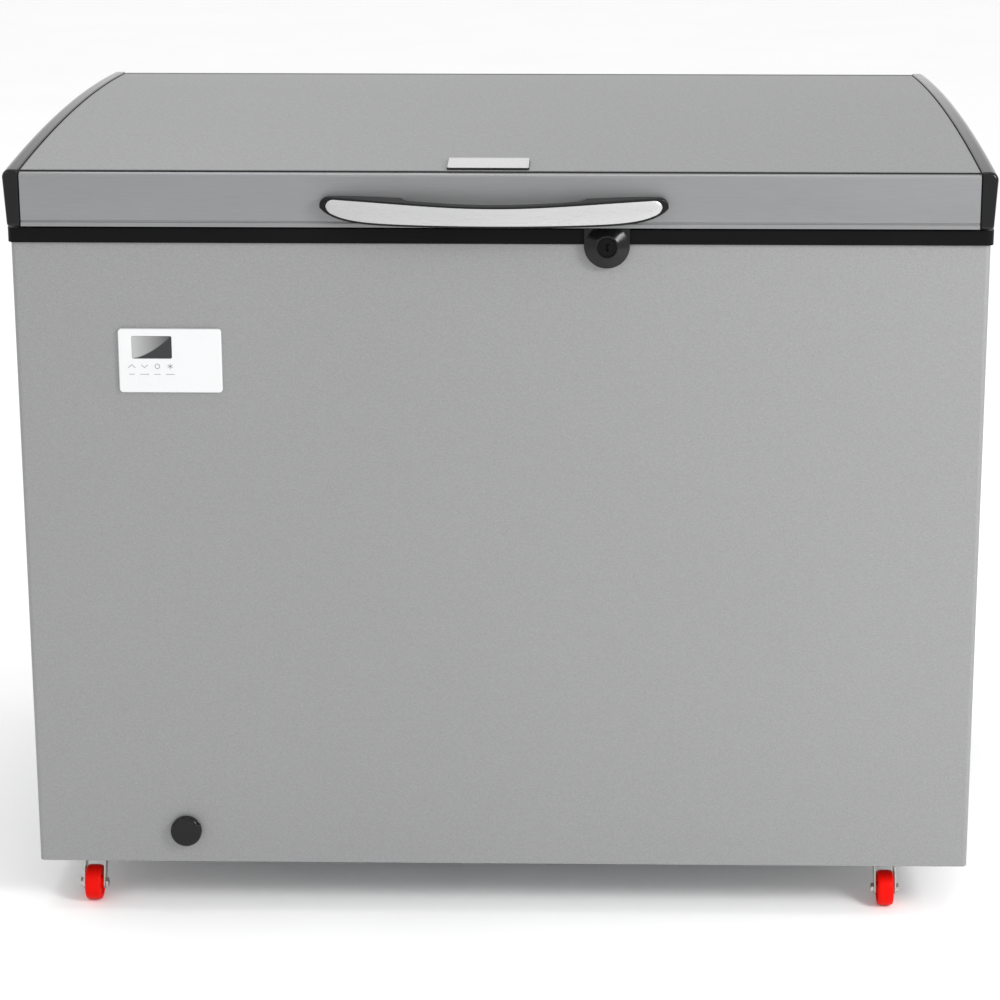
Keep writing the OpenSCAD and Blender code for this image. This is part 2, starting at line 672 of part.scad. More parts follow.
module lid_front_fascia() color("silver") difference() {
    side_profile(-lid_x, lid_x) {
        difference() {
            fascia_outline(0);
            fascia_outline(lid_shell_t);
            translate([lid_front + fascia_lip, lid_z + 10]) square([60, 70]);
            translate([lid_front + 22, lid_z - 1]) square([60, 20]);
            translate([lid_front - 1, lid_z + 5]) square([1.8, 1.4]);
        }
        translate([lid_front + 20, lid_z + 1]) square([2, 5]);
        translate([lid_front - 1, lid_z]) square([1.5, 4.6]);
    }
    block(lock_x - 5, lock_x + 13, cam_y - 2, cam_y + cam_t + 2, lid_z - 1, lid_z + 4);
}

module lid_rear_trim() color("darkslategray") side_profile(-lid_x, lid_x) difference() {
    under_camber(0, lid_rear - 16, lid_rear, lid_z);
    under_camber(lid_shell_t, lid_rear - 17, lid_rear - lid_shell_t, lid_z + lid_shell_t);
    translate([lid_rear - 30, lid_z + 10]) square([30 - rear_lip, 80]);
}

trim_proud = 1.5;

module trim_outline(inset) intersection() {
    under_camber(inset - trim_proud, lid_front - trim_proud + inset, lid_rear + trim_proud - inset, lid_z + inset);
    translate([lid_front - 10, lid_z + inset]) square([lid_len + 20, lid_edge_h + lid_crown + trim_proud - inset]);
}

module lid_side_trims() color("black") for (s = [-1, 1]) {
    x0 = s < 0 ? -lid_w / 2 : lid_x;
    wall_x = s < 0 ? -lid_w / 2 : lid_w / 2 - 3;
    side_profile(x0, x0 + trim_w) difference() {
        trim_outline(0);
        trim_outline(lid_shell_t + trim_proud);
    }
    side_profile(wall_x, wall_x + 3) trim_outline(0);
}

module plug_plan(inset)
    round_rect(-liner_x + liner_t + plug_gap + inset, liner_x - liner_t - plug_gap - inset,
               liner_y0 + liner_t + plug_gap + inset, liner_y1 - liner_t - plug_gap - inset, 20 - inset);

module lid_foam() color("khaki") difference() {
    union() {
        side_profile(-lid_x, lid_x)
            under_camber(1, lid_front + lid_shell_t, lid_rear - lid_shell_t, panel_z + panel_t);
        plan(panel_z - lid_plug_h + panel_t, panel_z + panel_t) plug_plan(panel_t);
    }
    block(-lid_x - 1, lid_x + 1, lid_front, lid_front + fascia_lip + 0.2, lid_top - 6, lid_top + 5);
    block(-lid_x - 1, lid_x + 1, lid_rear - rear_lip - 0.2, lid_rear, lid_top - 4, lid_top + 5);
}

module lid_inner_panel() color("white") {
    plan(panel_z, panel_z + panel_t) difference() {
        translate([-lid_x, lid_front + lid_shell_t]) square([2 * lid_x, lid_len - 2 * lid_shell_t]);
        plug_plan(panel_t);
    }
    plan(panel_z - lid_plug_h + panel_t, panel_z) difference() {
        plug_plan(0);
        plug_plan(panel_t);
    }
    plan(panel_z - lid_plug_h, panel_z - lid_plug_h + panel_t) plug_plan(0);
}

module lid_gasket() color("dimgray") plan(frame_top, panel_z) difference() {
    round_rect(-half_w + gasket_inset, half_w - gasket_inset,
               front_y + gasket_inset - 10, rear_y - gasket_inset + 10, 12);
    round_rect(-half_w + gasket_inset + gasket_w, half_w - gasket_inset - gasket_w,
               front_y + gasket_inset - 10 + gasket_w, rear_y - gasket_inset + 10 - gasket_w, 8);
}

lamp_y = liner_y0 + 70;

module lamp_lens() color("white") difference() {
    plan(panel_z - lid_plug_h - 8, panel_z - lid_plug_h) round_rect(-60, 60, lamp_y - 28, lamp_y + 28, 14);
    plan(panel_z - lid_plug_h - 6.4, panel_z - lid_plug_h + 1)
        round_rect(-58.4, 58.4, lamp_y - 26.4, lamp_y + 26.4, 12.4);
}

// Handle: the boat shape of its front view, crossed with its bow in plan
handle_x = -5;
handle_half = handle_w / 2;
handle_low_z = lid_z + 7.5;            // lower edge of the insert
insert_h = 20.4;                       // height of the insert in the middle
tip_rise = 17.6;                       // tips above the insert's lower edge
ear_rise = 5.5;                        // how far the upper edge climbs at 150 mm from the middle
rim = 1.4;                             // black rim round the insert
insert_half = handle_half - 5.5;
handle_front = lid_front - handle_reach;
handle_bow = handle_reach - 12;        // the tips stand 12 mm off the lid
bow_r = (pow(handle_half, 2) + pow(handle_bow, 2)) / (2 * handle_bow);
handle_t = 16;
foot_x0 = 98;
foot_x1 = 165;

// Edges of the front view at x, for an outline that reaches to half
function low_edge(x, half) = tip_rise * pow(abs(x) / half, 7);
function high_edge(x, half) = insert_h + ear_rise * pow(x / 150, 2)
    - (insert_h + ear_rise * pow(half / 150, 2) - tip_rise) * pow(abs(x) / half, 12);

module handle_face(half, edge) translate([0, handle_low_z]) polygon(concat(
    [for (a = [-90 : 5 : 90]) let (x = half * sin(a)) [x, low_edge(x, half) - edge]],
    [for (a = [85 : -5 : -85]) let (x = half * sin(a)) [x, high_edge(x, half) + edge]]));

module handle_plan(front, back) difference() {
    translate([0, handle_front + bow_r]) circle(bow_r - front, $fn = 360);
    translate([0, handle_front + bow_r]) circle(bow_r - back, $fn = 360);
}

module handle_base() color("black") translate([handle_x, 0, 0]) difference() {
    intersection() {
        front_profile(handle_front - 1, lid_front) handle_face(handle_half, rim);
        plan(handle_low_z - 2, handle_low_z + 60) {
            intersection() {
                handle_plan(0, handle_t);
                translate([-handle_half, handle_front - 1]) square([handle_w, handle_reach + 1]);
            }
            for (x = [-foot_x1, foot_x0])
                translate([x, handle_front + handle_t - 4]) square([foot_x1 - foot_x0, handle_reach - handle_t + 4]);
        }
    }
    intersection() {
        front_profile(handle_front - 1, lid_front) handle_face(insert_half + 0.2, 0.2);
        plan(handle_low_z - 2, handle_low_z + 60) handle_plan(-3, 2.5);
    }
}

module handle_insert() color("whitesmoke") translate([handle_x, 0, 0]) intersection() {
    front_profile(handle_front - 1, lid_front) handle_face(insert_half, 0);
    plan(handle_low_z - 2, handle_low_z + 60) handle_plan(0.2, 2.5);
}

badge_x = -12;

module badge_plate() color("silver") intersection() {
    plan(lid_top - 5, lid_top + 20) round_rect(badge_x - 44, badge_x + 44, lid_front + 9, lid_front + 53, 3);
    side_profile(badge_x - 50, badge_x + 50) difference() {
        under_camber(-3.5, lid_front, lid_mid, lid_top - 2);
        under_camber(0, lid_front, lid_mid, lid_top - 3);
    }
}

// ---------- basket ----------

basket_x1 = basket_x0 + basket_w;
cross_n = 9;                           // wires across the narrow way
long_n = 19;                           // wires across the deep way

module wire_x(x0, x1, y, z) translate([x0, y, z]) rotate([0, 90, 0]) cylinder(r = wire_r, h = x1 - x0, $fn = 8);
module wire_y(y0, y1, x, z) translate([x, y0, z]) rotate([-90, 0, 0]) cylinder(r = wire_r, h = y1 - y0, $fn = 8);
module wire_z(z0, z1, x, y) translate([x, y, z0]) cylinder(r = wire_r, h = z1 - z0, $fn = 8);

module basket_floor() color("white") {
    for (i = [0 : cross_n - 1])
        wire_y(basket_y0 + 6, basket_y1 - 6, basket_x0 + 10 + i * (basket_w - 20) / (cross_n - 1), basket_z0);
    for (i = [0 : long_n - 1])
        wire_x(basket_x0 + 6, basket_x1 - 6,
               basket_y0 + 14 + i * (basket_y1 - basket_y0 - 28) / (long_n - 1), basket_z0 + 2.6);
}

// Grid of one upright wall: rods up, and rods along it at three heights
module wall_x(y) {
    for (i = [0 : cross_n - 1])
        wire_z(basket_z0, basket_top, basket_x0 + 10 + i * (basket_w - 20) / (cross_n - 1), y);
    for (z = [basket_z0 + 2, basket_z0 + basket_h / 2, basket_top - 2])
        wire_x(basket_x0 + 5, basket_x1 - 5, y + (y < 0 ? -2.4 : 2.4), z);
}

module wall_y(x) {
    for (i = [0 : long_n - 1])
        wire_z(basket_z0, basket_top, x, basket_y0 + 14 + i * (basket_y1 - basket_y0 - 28) / (long_n - 1));
    for (z = [basket_z0 + 2, basket_z0 + basket_h / 2, basket_top - 2])
        wire_y(basket_y0 + 8, basket_y1 - 8, x + (x < basket_x0 + basket_w / 2 ? -2.4 : 2.4), z);
}

module basket_walls() color("white") {
    wall_x(basket_y0 + 3);
    wall_x(basket_y1 - 3);
    wall_y(basket_x0 + 3);
    wall_y(basket_x1 - 3);
    for (x = [basket_x0 + 40, basket_x1 - 40]) {
        wire_y(basket_y0 - 14, basket_y0 + 5, x, basket_top);
        wire_y(basket_y1 - 5, basket_y1 + 14, x, basket_top);
    }
}

front_panel();
left_side_panel();
right_side_panel();
rear_panel();
base_pan();
compressor_tray();
cabinet_foam();
inner_liner();
top_frame();
throat_trim();
evaporator_tube();
condenser_tube();
compressor();
compressor_grommets();
relay_cover();
refrigerant_lines();
filter_drier();
side_grille();
rear_service_cover();
control_fascia();
display_window();
lock_housing();
lock_cylinder();
lock_cam();
drain_spout();
drain_cap();
drain_tube();
liner_drain_plug();
hinge_brackets();
hinge_pins();
hinge_springs();
cabinet_screws();
cord_gland();
caster_plates();
caster_fork_front_left();
caster_fork_front_right();
caster_fork_rear_left();
caster_fork_rear_right();
caster_axle_front_left();
caster_axle_front_right();
caster_axle_rear_left();
caster_axle_rear_right();
caster_wheel_front_left();
caster_wheel_front_right();
caster_wheel_rear_left();
caster_wheel_rear_right();
lid_top_skin();
lid_front_fascia();
lid_side_trims();
lid_rear_trim();
lid_foam();
lid_inner_panel();
lid_gasket();
handle_base();
handle_insert();
badge_plate();
lamp_lens();
hinge_arms();
basket_floor();
basket_walls();
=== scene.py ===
"""Looks of the chest freezer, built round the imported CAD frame.

The frame is +Z up with the front facing -Y. The shapes below are in millimetres, and Shape.mesh
turns them into metres.
"""

import math

import bmesh
import bpy
from mathutils import Matrix, Vector


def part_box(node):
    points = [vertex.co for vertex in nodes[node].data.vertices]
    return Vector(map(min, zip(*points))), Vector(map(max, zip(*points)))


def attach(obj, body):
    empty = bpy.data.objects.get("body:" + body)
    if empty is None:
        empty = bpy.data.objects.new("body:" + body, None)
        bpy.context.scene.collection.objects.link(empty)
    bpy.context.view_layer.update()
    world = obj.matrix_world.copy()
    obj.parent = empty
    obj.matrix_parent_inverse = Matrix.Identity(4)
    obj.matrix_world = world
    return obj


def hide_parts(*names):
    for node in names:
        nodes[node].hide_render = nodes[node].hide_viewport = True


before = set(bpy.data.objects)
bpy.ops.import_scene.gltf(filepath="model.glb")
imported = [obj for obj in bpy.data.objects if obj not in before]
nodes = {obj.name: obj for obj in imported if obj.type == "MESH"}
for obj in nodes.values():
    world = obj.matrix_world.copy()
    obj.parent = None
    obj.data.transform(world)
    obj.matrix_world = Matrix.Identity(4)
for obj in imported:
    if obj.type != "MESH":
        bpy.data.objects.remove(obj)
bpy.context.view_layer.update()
MM = 0.001
SHARP = 34  # degrees between faces from which an edge stays a crease, unless a piece says otherwise
WELD_GAP = 2e-6  # metres


def span(node):
    """Lowest and highest corners of a CAD node, in millimetres."""
    low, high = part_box(node)
    return low / MM, high / MM


# ---------- main planes and thicknesses, as in the CAD ----------

WALL, LINER_T = 70, 1.2  # the cabinet's insulation, and the liner's sheet
PLUG_GAP = 16  # between the liner and the lid's plug
LIP = 1  # how far the lid's lower lip stands out in front
LID_CROWN = 12  # rise of the lid's camber

front_y = span("front_panel")[0].y
rear_y = span("rear_panel")[1].y
half_w = span("right_side_panel")[1].x
base_z = span("front_panel")[0].z
shell_top = span("front_panel")[1].z
frame_top = span("top_frame")[1].z
lid_z = span("lid_front_fascia")[0].z
lid_front = span("lid_front_fascia")[0].y + LIP
lid_rear = span("lid_rear_trim")[1].y
lid_x = span("lid_top_skin")[1].x
lid_half = span("lid_side_trims")[1].x
lid_top = span("lid_top_skin")[1].z - LID_CROWN
lid_mid = (lid_front + lid_rear) / 2
camber_r = (((lid_rear - lid_front) / 2) ** 2 + LID_CROWN**2) / (2 * LID_CROWN)


def camber(y):
    """Height of the lid's cambered top at y."""
    return lid_top + LID_CROWN - camber_r + math.sqrt(camber_r**2 - (y - lid_mid) ** 2)


# ---------- shapes ----------


def plan(u, v, h):
    """Places an outline in XY; heights run up."""
    return (u, v, h)


def facing_front(y):
    """Places an outline in XZ; heights come out of the plane y towards the viewer."""
    return lambda u, v, h: (u, y - h, v)


def facing_back(y):
    """As facing_front, seen from behind."""
    return lambda u, v, h: (u, y + h, v)


def along_x(x):
    """Places an outline in YZ; heights run along +X from x."""
    return lambda u, v, h: (x + h, u, v)


def arc(cx, cy, r, a0, a1, n):
    """Points of an arc from a0 to a1 degrees."""
    angles = [math.radians(a0 + (a1 - a0) * i / n) for i in range(n + 1)]
    return [(cx + r * math.cos(a), cy + r * math.sin(a)) for a in angles]


def polar(r, degrees):
    a = math.radians(degrees)
    return r * math.cos(a), r * math.sin(a)


def round_rect(x0, x1, y0, y1, r, n=6):
    return (arc(x1 - r, y0 + r, r, -90, 0, n) + arc(x1 - r, y1 - r, r, 0, 90, n)
            + arc(x0 + r, y1 - r, r, 90, 180, n) + arc(x0 + r, y0 + r, r, 180, 270, n))


def inset(outline, d):
    """The outline, run anticlockwise, moved inwards by d."""
    if d == 0:
        return list(outline)
    made, n = [], len(outline)
    for i, p in enumerate(outline):
        a, b = Vector(outline[i - 1]), Vector(outline[(i + 1) % n])
        p = Vector(p)
        e0, e1 = (p - a).normalized(), (b - p).normalized()
        n0, n1 = Vector((-e0.y, e0.x)), Vector((-e1.y, e1.x))
        made.append(tuple(p + d * (n0 + n1) / (1 + n0.dot(n1))))
    return made


def rolled(h0, h1, r0, r1, n=3):
    """Insets and heights of a plate's rings, its two edges rolled with radii r0 and r1."""
    turn = [math.pi / 2 * i / n for i in range(n + 1)]

    def edge(h, r, sign):
        if not r:
            return [(0, h)]
        return [(r * (1 - math.sin(t)), h + sign * r * (1 - math.cos(t))) for t in turn]

    return edge(h0, r0, 1) + edge(h1, r1, -1)[::-1]


class Shape:
    """Points and faces of one piece, in millimetres."""

    def __init__(self):
        self.points, self.faces = [], []

    def rings(self, rings, loop=False):
        """Skins rings of equal length; caps the two ends, or joins them in a loop."""
        start, n, m = len(self.points), len(rings[0]), len(rings)
        for ring in rings:
            self.points += [tuple(p) for p in ring]
        for i in range(m if loop else m - 1):
            a, b = start + i * n, start + (i + 1) % m * n
            self.faces += [(a + j, a + (j + 1) % n, b + (j + 1) % n, b + j) for j in range(n)]
        if not loop:
            self.faces.append(tuple(start + j for j in reversed(range(n))))
            self.faces.append(tuple(start + (m - 1) * n + j for j in range(n)))
        return self

    def stack(self, outline, steps, place=plan):
        """An outline at several insets and heights."""
        return self.rings([[place(u, v, h) for u, v in inset(outline, d)] for d, h in steps])

    def turned(self, u, v, profile, place=plan, n=48, loop=False):
        """A profile of radius and height turned round the point u, v."""
        turns = [2 * math.pi * i / n for i in range(n)]
        circle = [(math.cos(t), math.sin(t)) for t in turns]
        rings = [[place(u + r * c, v + r * s, h) for c, s in circle] for r, h in profile]
        return self.rings(rings, loop)

    def swept_x(self, profile, x0, x1):
        """A side profile in YZ carried along X."""
        return self.rings([[(x, y, z) for y, z in profile] for x in (x0, x1)])

    def tube(self, path, r, n=10, closed=False):
        """A round bar along a path, with domed ends unless it is closed."""
        path = [Vector(p) for p in path]
        m = len(path)
        turns = [2 * math.pi * k / n for k in range(n)]
        dome = [] if closed else [(0.35, 0.94), (0.75, 0.66)]
        heads = []
        for i in range(m):
            a = path[i - 1] if closed or i else path[0]
            b = path[(i + 1) % m] if closed or i < m - 1 else path[-1]
            heads.append((b - a).normalized())
        side = heads[0].orthogonal().normalized()
        rings = []
        for i, (p, head) in enumerate(zip(path, heads)):
            side = (side - head * side.dot(head)).normalized()
            up = head.cross(side)
            ring = [side * math.cos(t) + up * math.sin(t) for t in turns]
            if i == 0:
                rings += [[p + q * (r * s) - head * (r * d) for q in ring] for s, d in dome]
            rings.append([p + q * r for q in ring])
            if i == m - 1:
                rings += [[p + q * (r * s) + head * (r * d) for q in ring]
                          for s, d in reversed(dome)]
        return self.rings(rings, loop=closed)

    def moved(self, shape, matrix):
        """Adds a copy of another shape, moved by a matrix."""
        start = len(self.points)
        self.points += [tuple(matrix @ Vector(p)) for p in shape.points]
        self.faces += [tuple(start + i for i in f) for f in shape.faces]
        return self

    def mesh(self, name):
        made = bpy.data.meshes.new(name)
        made.from_pydata([tuple(c * MM for c in p) for p in self.points], [], self.faces)
        b = bmesh.new()
        b.from_mesh(made)
        bmesh.ops.remove_doubles(b, verts=b.verts, dist=WELD_GAP)
        bmesh.ops.dissolve_degenerate(b, edges=b.edges, dist=1e-7)
        bmesh.ops.recalc_face_normals(b, faces=b.faces)
        b.to_mesh(made)
        b.free()
        return made

    def piece(self, name, material, body, replaced=(), slot=None, sharp=SHARP):
        """The shape as an object that rides on a body and stands for CAD nodes."""
        obj = bpy.data.objects.new(name, self.mesh(name))
        bpy.context.scene.collection.objects.link(obj)
        obj.data.materials.append(material)
        smooth(obj.data, sharp)
        flatten(obj)
        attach(obj, body)
        if replaced:
            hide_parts(*replaced)
        return obj


def flatten(obj):
    """Lets big flat faces keep their own normals beside rolled edges."""
    even = obj.modifiers.new("flat", "WEIGHTED_NORMAL")
    even.keep_sharp, even.weight = True, 90


def smooth(mesh, sharp):
    mesh.shade_smooth()
    mesh.set_sharp_from_angle(angle=math.radians(sharp))


def carve(obj, shape, sharp=SHARP):
    """Cuts a closed shape out of an object for good."""
    tool = bpy.data.objects.new("carver", shape.mesh("carver"))
    bpy.context.scene.collection.objects.link(tool)
    cut = obj.modifiers.new("carve", "BOOLEAN")
    cut.operation, cut.solver, cut.object = "DIFFERENCE", "EXACT", tool
    cut.use_self = True
    bpy.context.view_layer.update()
    graph = bpy.context.evaluated_depsgraph_get()
    made = bpy.data.meshes.new_from_object(obj.evaluated_get(graph))
    obj.modifiers.remove(cut)
    obj.data = made
    smooth(made, sharp)
    bpy.data.objects.remove(tool)


def brick(x0, x1, y0, y1, z0, z1):
    """A plain block to carve with."""
    return Shape().stack([(x0, y0), (x1, y0), (x1, y1), (x0, y1)], [(0, z0), (0, z1)])


# ---------- materials ----------


class Finish:
    """A procedural material; its patterns lie in object space, in metres."""

    def __init__(self, name, colour, roughness, metallic=0.0, **sockets):
        self.material = bpy.data.materials.new(name)
        self.material.use_nodes = True
        self.tree = self.material.node_tree
        self.shader = self.tree.nodes["Principled BSDF"]
        self.colour, self.roughness = (*colour, 1.0), roughness
        self.set("Base Color", self.colour)
        self.set("Roughness", roughness)
        self.set("Metallic", metallic)
        for key, value in sockets.items():
            self.set(key.replace("_", " "), value)
        self.place = self.node("ShaderNodeTexCoord").outputs["Object"]
        self.tint = self.bump = None

    def set(self, socket, value):
        self.shader.inputs[socket].default_value = value

    def node(self, kind, **settings):
        made = self.tree.nodes.new(kind)
        for key, value in settings.items():
            setattr(made, key, value)
        return made

    def link(self, a, b):
        self.tree.links.new(a, b)

    def noise(self, scale, detail=3.0, rough=0.6, stretch=(1, 1, 1)):
        mapping = self.node("ShaderNodeMapping")
        mapping.inputs["Scale"].default_value = stretch
        made = self.node("ShaderNodeTexNoise")
        made.inputs["Scale"].default_value = scale
        made.inputs["Detail"].default_value = detail
        made.inputs["Roughness"].default_value = rough
        self.link(self.place, mapping.inputs["Vector"])
        self.link(mapping.outputs["Vector"], made.inputs["Vector"])
        return made.outputs["Fac"]

    def cells(self, scale):
        made = self.node("ShaderNodeTexVoronoi")
        made.inputs["Scale"].default_value = scale
        self.link(self.place, made.inputs["Vector"])
        split = self.node("ShaderNodeSeparateColor")
        self.link(made.outputs["Color"], split.inputs["Color"])
        return split.outputs["Red"]

    def compute(self, operation, a, b):
        """A Math node on two sources, or on a source and a number."""
        made = self.node("ShaderNodeMath", operation=operation)
        self.link(a, made.inputs[0])
        if isinstance(b, float):
            made.inputs[1].default_value = b
        else:
            self.link(b, made.inputs[1])
        return made.outputs[0]

    def spread(self, source, low, high, a=0.3, b=0.7):
        """The source from a to b, stretched to low to high."""
        made = self.node("ShaderNodeMapRange")
        for key, value in (("From Min", a), ("From Max", b), ("To Min", low), ("To Max", high)):
            made.inputs[key].default_value = value
        self.link(source, made.inputs["Value"])
        return made.outputs["Result"]

    def shade(self, source, amount, other=None, a=0.3, b=0.7):
        """Varies the colour by amount, or towards another colour, along the source."""
        mix = self.node("ShaderNodeMix", data_type="RGBA", blend_type="MIX")
        if self.tint is None:
            mix.inputs["A"].default_value = self.colour
        else:
            self.link(self.tint, mix.inputs["A"])
        if other is None:
            mix.blend_type = "MULTIPLY"
            mix.inputs["Factor"].default_value = 1.0
            ramp = self.node("ShaderNodeCombineColor")
            level = self.spread(source, 1 - amount, 1 + amount, a, b)
            for channel in ("Red", "Green", "Blue"):
                self.link(level, ramp.inputs[channel])
            self.link(ramp.outputs["Color"], mix.inputs["B"])
        else:
            mix.inputs["B"].default_value = (*other, 1.0)
            self.link(self.spread(source, 0, amount, a, b), mix.inputs["Factor"])
        self.tint = mix.outputs["Result"]
        self.link(self.tint, self.shader.inputs["Base Color"])
        return self

    def gloss(self, source, amount):
        """Varies the roughness by amount along the source."""
        low, high = max(self.roughness - amount, 0.02), self.roughness + amount
        self.link(self.spread(source, low, high), self.shader.inputs["Roughness"])
        return self

    def relief(self, source, height, strength):
        """Bump of a height in millimetres along the source."""
        made = self.node("ShaderNodeBump")
        made.inputs["Strength"].default_value = strength
        made.inputs["Distance"].default_value = height * MM
        self.link(source, made.inputs["Height"])
        if self.bump is not None:
            self.link(self.bump, made.inputs["Normal"])
        self.bump = made.outputs["Normal"]
        self.link(self.bump, self.shader.inputs["Normal"])
        return self


def metallic_paint(name, colour):
    """Grey paint with fine metallic flakes and a faint orange peel."""
    f = Finish(name, colour, 0.52, 0.25, Coat_Weight=0.06, Coat_Roughness=0.40)
    f.shade(f.noise(560, 2.0, 0.7), 0.10)
    f.shade(f.cells(760), 0.035, a=0.0, b=1.0)
    f.shade(f.noise(2.2, 2.0), 0.012)
    f.gloss(f.noise(320, 2.0), 0.07)
    f.relief(f.noise(620, 2.0), 0.05, 0.35)
    f.relief(f.noise(60, 1.0), 0.03, 0.25)
    return f.material


def plastic(name, colour, roughness, vary, texture, height, coat=0.0, specular=0.5):
    """Moulded plastic with a fine texture, flow marks and handling variation of its gloss."""
    f = Finish(name, colour, roughness, Coat_Weight=coat, Coat_Roughness=0.08,
               Specular_IOR_Level=specular)
    f.shade(f.noise(14, 3.0), vary)
    f.gloss(f.noise(38, 4.0), roughness * 0.14)
    f.relief(f.noise(texture, 2.0), height, 0.4)
    f.relief(f.noise(9, 1.0), 0.12, 0.12)
    return f.material


def metal(name, colour, roughness, vary=0.06, scale=240.0, spangle=0.0):
    """Plain or plated metal; spangle is the contrast of hot-dip zinc's crystals."""
    f = Finish(name, colour, roughness, 1.0)
    f.shade(f.noise(scale, 3.0, 0.65), vary)
    if spangle:
        f.shade(f.cells(110), spangle, a=0.0, b=1.0)
    f.gloss(f.noise(scale * 0.6), roughness * 0.3)
    f.relief(f.noise(scale * 2, 2.0), 0.02, 0.3)
    return f.material


# The frame's own materials give way to the ones made here
for imported in list(bpy.data.materials):
    bpy.data.materials.remove(imported)

cabinet_paint = metallic_paint("cabinet_paint", (0.254, 0.255, 0.258))
# The lid's paint is a darker copy of the cabinet's paint: painted shade that evens out the stronger
# light falling on the lid's top
lid_paint = metallic_paint("lid_paint", (0.208, 0.209, 0.212))
black_gloss = plastic("black_gloss", (0.006, 0.006, 0.0065), 0.15, 0.10, 700, 0.012, specular=0.25)
black_moulding = plastic("black_moulding", (0.008, 0.008, 0.0085), 0.24, 0.10, 800, 0.015,
                         specular=0.14)
black_satin = plastic("black_satin", (0.0045, 0.0045, 0.005), 0.38, 0.12, 1100, 0.03, specular=0.07)
white_plastic = plastic("white_plastic", (0.655, 0.66, 0.665), 0.24, 0.01, 600, 0.004, coat=0.2)
liner_white = plastic("liner_white", (0.70, 0.71, 0.72), 0.34, 0.012, 300, 0.004)
clear_lens = plastic("clear_lens", (0.88, 0.90, 0.92), 0.25, 0.01, 500, 0.03, coat=0.3)
gasket_grey = plastic("gasket_grey", (0.16, 0.165, 0.17), 0.55, 0.06, 900, 0.03)
rubber_black = plastic("rubber_black", (0.012, 0.012, 0.0125), 0.68, 0.15, 600, 0.06, specular=0.3)
wire_white = plastic("wire_white", (0.70, 0.71, 0.71), 0.34, 0.03, 420, 0.02)
wheel_red = plastic("wheel_red", (0.74, 0.005, 0.002), 0.42, 0.07, 500, 0.04, specular=0.07)
pot_black = plastic("pot_black", (0.010, 0.010, 0.0105), 0.42, 0.25, 260, 0.10, coat=0.1)
zinc_sheet = metal("zinc_sheet", (0.50, 0.51, 0.52), 0.46, spangle=0.055)
zinc_plated = metal("zinc_plated", (0.52, 0.50, 0.46), 0.30, 0.10, 160)
spring_steel = metal("spring_steel", (0.36, 0.36, 0.37), 0.34, 0.12, 300)
copper = metal("copper", (0.78, 0.38, 0.22), 0.28, 0.14, 120)


def make_fascia_grey():
    """Satin grey moulding with a fine lengthwise brush and faint streaks."""
    f = Finish("fascia_grey", (0.222, 0.224, 0.228), 0.34, 0.35,
               Coat_Weight=0.1, Coat_Roughness=0.25)
    f.shade(f.noise(500, 2.0, 0.5, (0.06, 1, 1)), 0.03)
    f.shade(f.noise(4, 2.0, 0.5, (1, 1, 6)), 0.03)
    f.gloss(f.noise(240, 2.0, 0.5, (0.06, 1, 1)), 0.04)
    f.relief(f.noise(14, 1.0, 0.5, (1, 1, 4)), 0.15, 0.15)
    return f.material


def make_silver_satin():
    """Light satin cover of the handle and face of the plate, with a fine lengthwise brush."""
    f = Finish("silver_satin", (0.425, 0.425, 0.427), 0.30, 0.15,
               Coat_Weight=0.25, Coat_Roughness=0.12)
    f.shade(f.noise(420, 3.0, 0.6, (0.04, 1, 1)), 0.025)
    f.shade(f.noise(10, 2.0), 0.02)
    f.gloss(f.noise(300, 3.0, 0.6, (0.05, 1, 1)), 0.06)
    f.relief(f.noise(700, 2.0, 0.6, (0.05, 1, 1)), 0.008, 0.3)
    return f.material


def make_foam():
    """Blown foam, darker where its skin is closed."""
    f = Finish("foam", (0.72, 0.60, 0.30), 0.85)
    f.shade(f.noise(180, 4.0), 0.12)
    f.shade(f.noise(12, 2.0), 0.5, (0.80, 0.70, 0.42))
    f.relief(f.noise(420, 3.0), 0.5, 0.7)
    return f.material


def make_smoked_window():
    """Dark display window with a painted reflection: a lighter sheen painted above its diagonal,
    fading towards the right.
    """
    low, high = span("display_window")
    f = Finish("smoked_window", (0.030, 0.031, 0.033), 0.14, Specular_IOR_Level=0.25)
    split = f.node("ShaderNodeSeparateXYZ")
    f.link(f.place, split.inputs["Vector"])
    across = f.spread(split.outputs["X"], 0, 1, low.x * MM, high.x * MM)
    up = f.spread(split.outputs["Z"], 0, 1, low.z * MM, high.z * MM)
    # Painted reflection: the window is lighter grey above a curve, fading from left to right
    above = f.compute("SUBTRACT", up, f.compute("POWER", across, 1.6))
    sweep = f.spread(above, 0, 1, -0.01, 0.03)
    sheen_fade = f.spread(across, 1, 0.06, 0.0, 1.0)
    f.shade(f.compute("MULTIPLY", sweep, sheen_fade), 1.0, (0.40, 0.40, 0.40), 0.0, 1.0)
    f.gloss(f.noise(60, 2.0), 0.03)
    return f.material


def make_icon_ink():
    """Grey print of the key marks."""
    f = Finish("icon_ink", (0.17, 0.17, 0.175), 0.5)
    f.shade(f.noise(900, 2.0), 0.12)
    return f.material


fascia_grey = make_fascia_grey()
silver_satin = make_silver_satin()
foam = make_foam()
smoked_window = make_smoked_window()
icon_ink = make_icon_ink()


# ---------- CAD nodes that stay ----------


